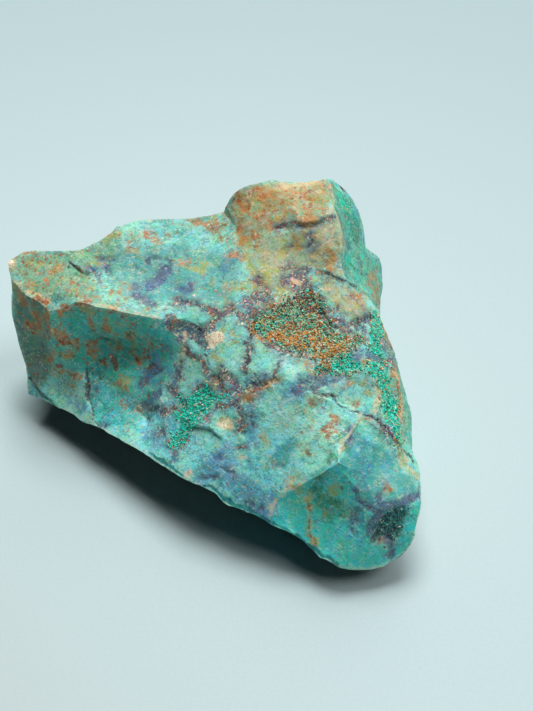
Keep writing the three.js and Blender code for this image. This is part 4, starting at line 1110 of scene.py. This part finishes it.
def stone_finish(colours):
    paint = StonePaint("broken shattuckite", colours)
    for layer in (
        paint.lay_ground, paint.mottle_ground, paint.stain, paint.vein, paint.rust, paint.freckle,
        paint.speckle, paint.fibres, paint.drift, paint.painted_shade_and_wear,
    ):
        layer()
    # the white patches are glossier and have fine cracks
    white = paint.mask("cream", 21, 0.3, 2.6)
    paint.coat(white, paint.mix(paint.veinlets(77, 1.6 * MM, 0.016), colours.cream, tone(150, 116, 92)))
    vivid = paint.add("ShaderNodeHueSaturation", Saturation=1.02, Value=1.09, Color=paint.ground)
    dullness = paint.rise(paint.small, 0.3, 0.7, 0.42, 0.78)
    grit = paint.sum(paint.product(paint.fine, 0.5), paint.sum(paint.small, paint.middle))
    bump = paint.add("ShaderNodeBump", Strength=0.65, Distance=0.32 * MM, Height=grit)
    paint.finish(
        Base_Color=vivid.outputs["Color"],
        Roughness=paint.least(dullness, paint.rise(white, 0.2, 1, 1.0, 0.4)),
        Normal=bump.outputs["Normal"],
        Specular_IOR_Level=paint.rise(white, 0.2, 1, 0.25, 1.0),
    )
    return paint.material


def crystal_finish(name, roughness):
    tree = Tree(name)
    shade = tree.rise(tree.clouds(0.4 * MM, 1), 0.3, 0.7, 0.3, 0)
    tree.finish(
        Base_Color=tree.mix(shade, tree.tint("tint"), tone(20, 30, 30)),
        Roughness=tree.rise(tree.clouds(1.1 * MM, 1), 0.3, 0.7, roughness, roughness + 0.3),
    )
    return tree.material


# --- crystals ------------------------------------------------------------------------------------


def crystal_shape(width, height):
    """One stubby four-sided crystal on its own base: a prism with a point, as points and triangles."""
    sides = 4
    prism, point = 0.6 * height, 0.75 * height
    shape = bmesh.new()
    bmesh.ops.create_cone(
        shape, cap_ends=False, segments=sides, radius1=width / 2, radius2=width / 2.6, depth=prism,
        matrix=Matrix.Translation((0, 0, height * 0.1)),
    )
    top = [e for e in shape.edges if all(v.co.z > height * 0.2 for v in e.verts)]
    made = bmesh.ops.extrude_edge_only(shape, edges=top)["geom"]
    tip = [v for v in made if isinstance(v, bmesh.types.BMVert)]
    bmesh.ops.pointmerge(shape, verts=tip, merge_co=Vector((0, 0, point)))
    bmesh.ops.holes_fill(shape, edges=[e for e in shape.edges if e.is_boundary], sides=sides)
    bmesh.ops.recalc_face_normals(shape, faces=shape.faces)
    bmesh.ops.triangulate(shape, faces=shape.faces)
    shape.verts.index_update()
    points = np.array([v.co for v in shape.verts])
    faces = np.array([[v.index for v in f.verts] for f in shape.faces])
    shape.free()
    return points, faces


def field_of(stone, name):
    """A marking's signed distance at each of the stone's points."""
    values = np.zeros(len(stone.vertices), np.float32)
    stone.attributes[name].data.foreach_get("value", values)
    return values


def chance_of(stone, points, name):
    """How likely a crystal is at each point, from 0 to 1: high inside a marking, none on violet veins."""
    field = field_of(stone, name)
    for reach, size, seed in ((2.2, 2.2 * MM, 77), (0.8, 0.9 * MM, 78)):
        field = field + reach * noise_at(points, size, seed)
    return smooth_step(0.8, -1.0, field) * smooth_step(-0.3, 0.5, field_of(stone, "violet"))


def unit(vectors):
    return vectors / np.linalg.norm(vectors, axis=1)[:, None]


def scatter(random, stone, name, spacing, lean):
    """Feet and turns of crystals that stand on the stone, spread by chance."""
    stone.calc_loop_triangles()
    triangles = np.array([t.vertices for t in stone.loop_triangles])
    points = np.array([v.co for v in stone.vertices])
    a, b, c = (points[triangles[:, i]] for i in range(3))
    cross = np.cross(b - a, c - a)
    area = np.linalg.norm(cross, axis=1) / 2
    weight = area * chance_of(stone, points, name)[triangles].mean(1)
    count = int(weight.sum() / spacing**2)
    chosen = random.choice(len(triangles), count, p=weight / weight.sum())
    r, s = random.random((2, count, 1))
    folded = (r + s) > 1
    r, s = np.where(folded, 1 - r, r), np.where(folded, 1 - s, s)
    feet = a[chosen] + r * (b - a)[chosen] + s * (c - a)[chosen]
    upright = cross[chosen] / (2 * area[chosen, None])
    axis = unit(upright + lean * random.normal(size=(count, 3)))
    side = unit(np.cross(axis, random.normal(size=(count, 3))))
    return feet, np.stack([side, np.cross(axis, side), axis], 2)


def grow_crystals(context, name, marking, shape, palette, spacing, seed, lean, finish):
    """Crystals on one of the stone's markings, as one joined mesh with a tint for each crystal."""
    random = np.random.default_rng(seed)
    feet, turns = scatter(random, bpy.data.objects["stone"].data, marking, spacing, lean)
    size = np.exp(random.normal(0, 0.28, len(feet)))
    stretch = np.exp(random.normal(0, 0.22, (len(feet), 3)))
    points, faces = shape
    bodies = points[None] * (size[:, None] * stretch)[:, None]
    grown = feet[:, None] + np.einsum("nij,nkj->nki", turns, bodies)
    low, high = np.array(CAD_BOX)
    kept = ((grown > low) & (grown < high)).all((1, 2))
    grown, feet = grown[kept], feet[kept]
    shift = np.arange(len(feet))[:, None, None] * len(points)
    mesh = bpy.data.meshes.new(name)
    mesh.from_pydata(grown.reshape(-1, 3), [], (faces[None] + shift).reshape(-1, 3))
    tints = np.c_[palette(feet, random), np.ones(len(feet))]
    tint = mesh.attributes.new("tint", "FLOAT_COLOR", "POINT")
    tint.data.foreach_set("color", np.repeat(tints, len(points), 0).astype(np.float32).ravel())
    mesh.materials.append(finish)
    piece = place_object(context, name, mesh)
    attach(piece, "root")


def pick(random, shares, colours):
    """A colour for each crystal, by its shares of the colours, lighter or darker by a little."""
    edges = np.cumsum(shares / shares.sum(1, keepdims=True), axis=1)
    chosen = (random.random(len(shares))[:, None] > edges[:, :-1]).sum(1)
    spread = np.exp(random.normal(0, 0.22, (len(shares), 1)))
    return np.clip(np.array(colours)[chosen] * spread, 0, 1)


def plain_palette(*shares_and_colours):
    """The same shares of the same colours for every crystal."""
    shares, colours = zip(*shares_and_colours)
    return lambda feet, random: pick(random, np.tile(shares, (len(feet), 1)), colours)


def druse_palette(feet, random):
    """Ochre and brown grains in drifts among green ones, bright turquoise on the crust."""
    places = sheet_places(feet)
    ragged = 0.8 * noise_at(feet, 1.6 * MM, 71)
    ochre, brown, crust = (
        smooth_step(0.5, -0.5, patch_field(places, rim) + ragged)
        for rim in (DRIFTS["ochre"], DRIFTS["brown"], *PATCHES["crust"])
    )
    warm = smooth_step(-0.3, 0.3, fractal_at(feet, 2.4 * MM, 23) + 0.55 * ochre - 0.12) * (1 - 0.8 * crust)
    shares, colours = zip(
        (0.1 + warm * (0.8 + 3.0 * ochre), tone(255, 180, 84)),
        (0.15 + 1.3 * (1 - warm), tone(144, 212, 170)),
        (0.15 + 0.5 * (1 - warm) + 5 * crust, tone(26, 236, 206)),
        (0.15 + 0.9 * warm + 1.2 * brown, tone(184, 124, 72)),
        (0.35 + 1.2 * brown, tone(106, 94, 110)),
        (0.3 + 0.5 * crust, tone(255, 238, 200)),
        (0.3 * (1 - warm), tone(78, 130, 108)),
    )
    return pick(random, np.stack(shares, 1), colours)


class SPECIMEN_OT_crystals(bpy.types.Operator):
    """Grow the crystal crusts: the ochre and green druse, the green streak and the dark hollow"""

    bl_idname = "specimen.crystals"
    bl_label = "Crystals"

    def execute(self, context):
        stub = crystal_shape(0.36 * MM, 0.34 * MM)
        flat = crystal_shape(0.40 * MM, 0.26 * MM)
        greens = plain_palette(
            (1.1, tone(36, 228, 190)), (1.4, tone(30, 244, 216)), (0.35, tone(86, 132, 132)),
            (0.16, tone(236, 250, 232)), (0.12, tone(214, 150, 90)),
        )
        darks = plain_palette(
            (1.2, tone(54, 122, 114)), (0.7, tone(56, 168, 156)), (0.4, tone(88, 80, 112)),
            (0.15, tone(200, 214, 196)),
        )
        # name, marking, shape, palette, spacing, seed, lean, and the finish with its roughness
        for *crust, finish, roughness in (
            ("druse_crystals", "druse", stub, druse_palette, 0.27 * MM, 3, 0.55, "mixed druse", 0.28),
            ("emerald_crystals", "emerald", flat, greens, 0.28 * MM, 5, 0.4, "green druse", 0.25),
            ("hollow_crystals", "pit", stub, darks, 0.36 * MM, 7, 0.6, "dark druse", 0.22),
        ):
            grow_crystals(context, *crust, crystal_finish(finish, roughness))
        return {"FINISHED"}


# --- stage ---------------------------------------------------------------------------------------


def paper_finish(studio):
    """Matt paper with painted shade: it darkens far off, as the light falls away, and at the front left,
    where the stone's soft shadow spreads.
    """
    tree = Tree("matt paper backdrop")
    distance = tree.add("ShaderNodeVectorMath", {"operation": "LENGTH"}, Vector=tree.place).outputs["Value"]
    # painted shade: the paper darkens far off, as the light falls away
    paper = tree.mix(tree.rise(distance, 0.05, 0.32), studio.floor, studio.floor_far_shade)
    aside = tree.add("ShaderNodeVectorMath", {"operation": "DOT_PRODUCT"}, Vector=tree.place)
    tree.feed(aside.inputs[1], (-0.7, -0.7, 0))
    # painted shade: the floor at the front left darkens, widening the stone's soft shadow
    nearby = tree.product(tree.rise(aside.outputs["Value"], 0.02, 0.16), tree.rise(distance, 0.5, 0.2))
    paper = tree.mix(nearby, paper, studio.floor_near_shade)
    fibres = tree.rise(tree.clouds(0.8 * MM), 0.3, 0.7, 0, 0.08)
    tree.finish(
        Base_Color=tree.mix(fibres, paper, tone(150, 170, 172)), Roughness=0.9, Specular_IOR_Level=0.2,
    )
    return tree.material


def lay_floor(context, studio):
    shape = bmesh.new()
    bmesh.ops.create_grid(shape, x_segments=1, y_segments=1, size=3)
    mesh = bpy.data.meshes.new("floor")
    shape.to_mesh(mesh)
    shape.free()
    mesh.materials.append(paper_finish(studio))
    floor = place_object(context, "floor", mesh)


def fill_air(scene, studio):
    """The air looks pale, but it hardly lights the stone: only a little blue falls into the shadow."""
    world = scene.world or bpy.data.worlds.new("studio air")
    scene.world = world
    world.use_nodes = True
    nodes, links = world.node_tree.nodes, world.node_tree.links
    ray = nodes.new("ShaderNodeLightPath")
    shade = nodes.new("ShaderNodeMix")
    shade.data_type = "RGBA"
    shade.inputs[6].default_value = (*studio.air, 1)
    shade.inputs[7].default_value = (*studio.floor, 1)
    links.new(ray.outputs["Is Camera Ray"], shade.inputs[0])
    links.new(shade.outputs[2], nodes["Background"].inputs["Color"])


def soft_light(context, name, direction, strength, softness):
    """A wide, even light that shines from a direction, as from a large diffuser far off."""
    light = bpy.data.lights.new(name, "SUN")
    light.energy = strength
    light.angle = softness
    light.color = (1, 0.99, 0.98)
    lamp = place_object(context, name, light)
    lamp.rotation_euler = (-Vector(direction)).to_track_quat("-Z", "Y").to_euler()


def set_camera(context, studio):
    lens = bpy.data.cameras.new("camera")
    lens.lens = studio.lens
    camera = place_object(context, "camera", lens)
    away = Vector((0, -math.cos(studio.elevation), math.sin(studio.elevation)))
    camera.location = Vector(studio.aim) + away * studio.distance
    camera.rotation_euler = (-away).to_track_quat("-Z", "Y").to_euler()
    context.scene.camera = camera


class SPECIMEN_OT_stage(bpy.types.Operator):
    """Lay the floor, hang the lights and set the camera"""

    bl_idname = "specimen.stage"
    bl_label = "Stage"

    def execute(self, context):
        studio = context.scene.studio_setup
        lay_floor(context, studio)
        fill_air(context.scene, studio)
        context.scene.view_settings.view_transform = "Standard"
        for name, direction, strength, width in (
            ("key_light", (0.01, 0.27, 0.58), studio.key_strength, 0.8),
            ("back_light", (0.10, 0.50, 0.40), studio.back_strength, 1.0),
            ("fill_light", (0.30, -0.05, 0.52), studio.fill_strength, 0.8),
        ):
            soft_light(context, name, direction, strength, width * studio.softness)
        set_camera(context, studio)
        return {"FINISHED"}


class SPECIMEN_PT_panel(bpy.types.Panel):
    """Buttons for the specimen's pieces and its stage"""

    bl_idname = "SPECIMEN_PT_panel"
    bl_label = "Specimen"
    bl_space_type = "VIEW_3D"
    bl_region_type = "UI"
    bl_category = "Specimen"

    def draw(self, context):
        for operator in OPERATORS:
            self.layout.operator(operator.bl_idname)
        for group in (context.scene.stone_shape, context.scene.stone_colours, context.scene.studio_setup):
            for name in group.__annotations__:
                self.layout.prop(group, name)


OPERATORS = (SPECIMEN_OT_stone, SPECIMEN_OT_crystals, SPECIMEN_OT_stage)
CLASSES = (StoneShape, StoneColours, StudioSetup, *OPERATORS, SPECIMEN_PT_panel)


def register():
    for kind in CLASSES:
        bpy.utils.register_class(kind)
    bpy.types.Scene.stone_shape = bpy.props.PointerProperty(type=StoneShape)
    bpy.types.Scene.stone_colours = bpy.props.PointerProperty(type=StoneColours)
    bpy.types.Scene.studio_setup = bpy.props.PointerProperty(type=StudioSetup)


def unregister():
    del bpy.types.Scene.studio_setup, bpy.types.Scene.stone_colours, bpy.types.Scene.stone_shape
    for kind in reversed(CLASSES):
        bpy.utils.unregister_class(kind)


def main():
    register()
    bpy.ops.specimen.stage()
    bpy.ops.specimen.stone()
    bpy.ops.specimen.crystals()


if __name__ == "__main__":
    main()
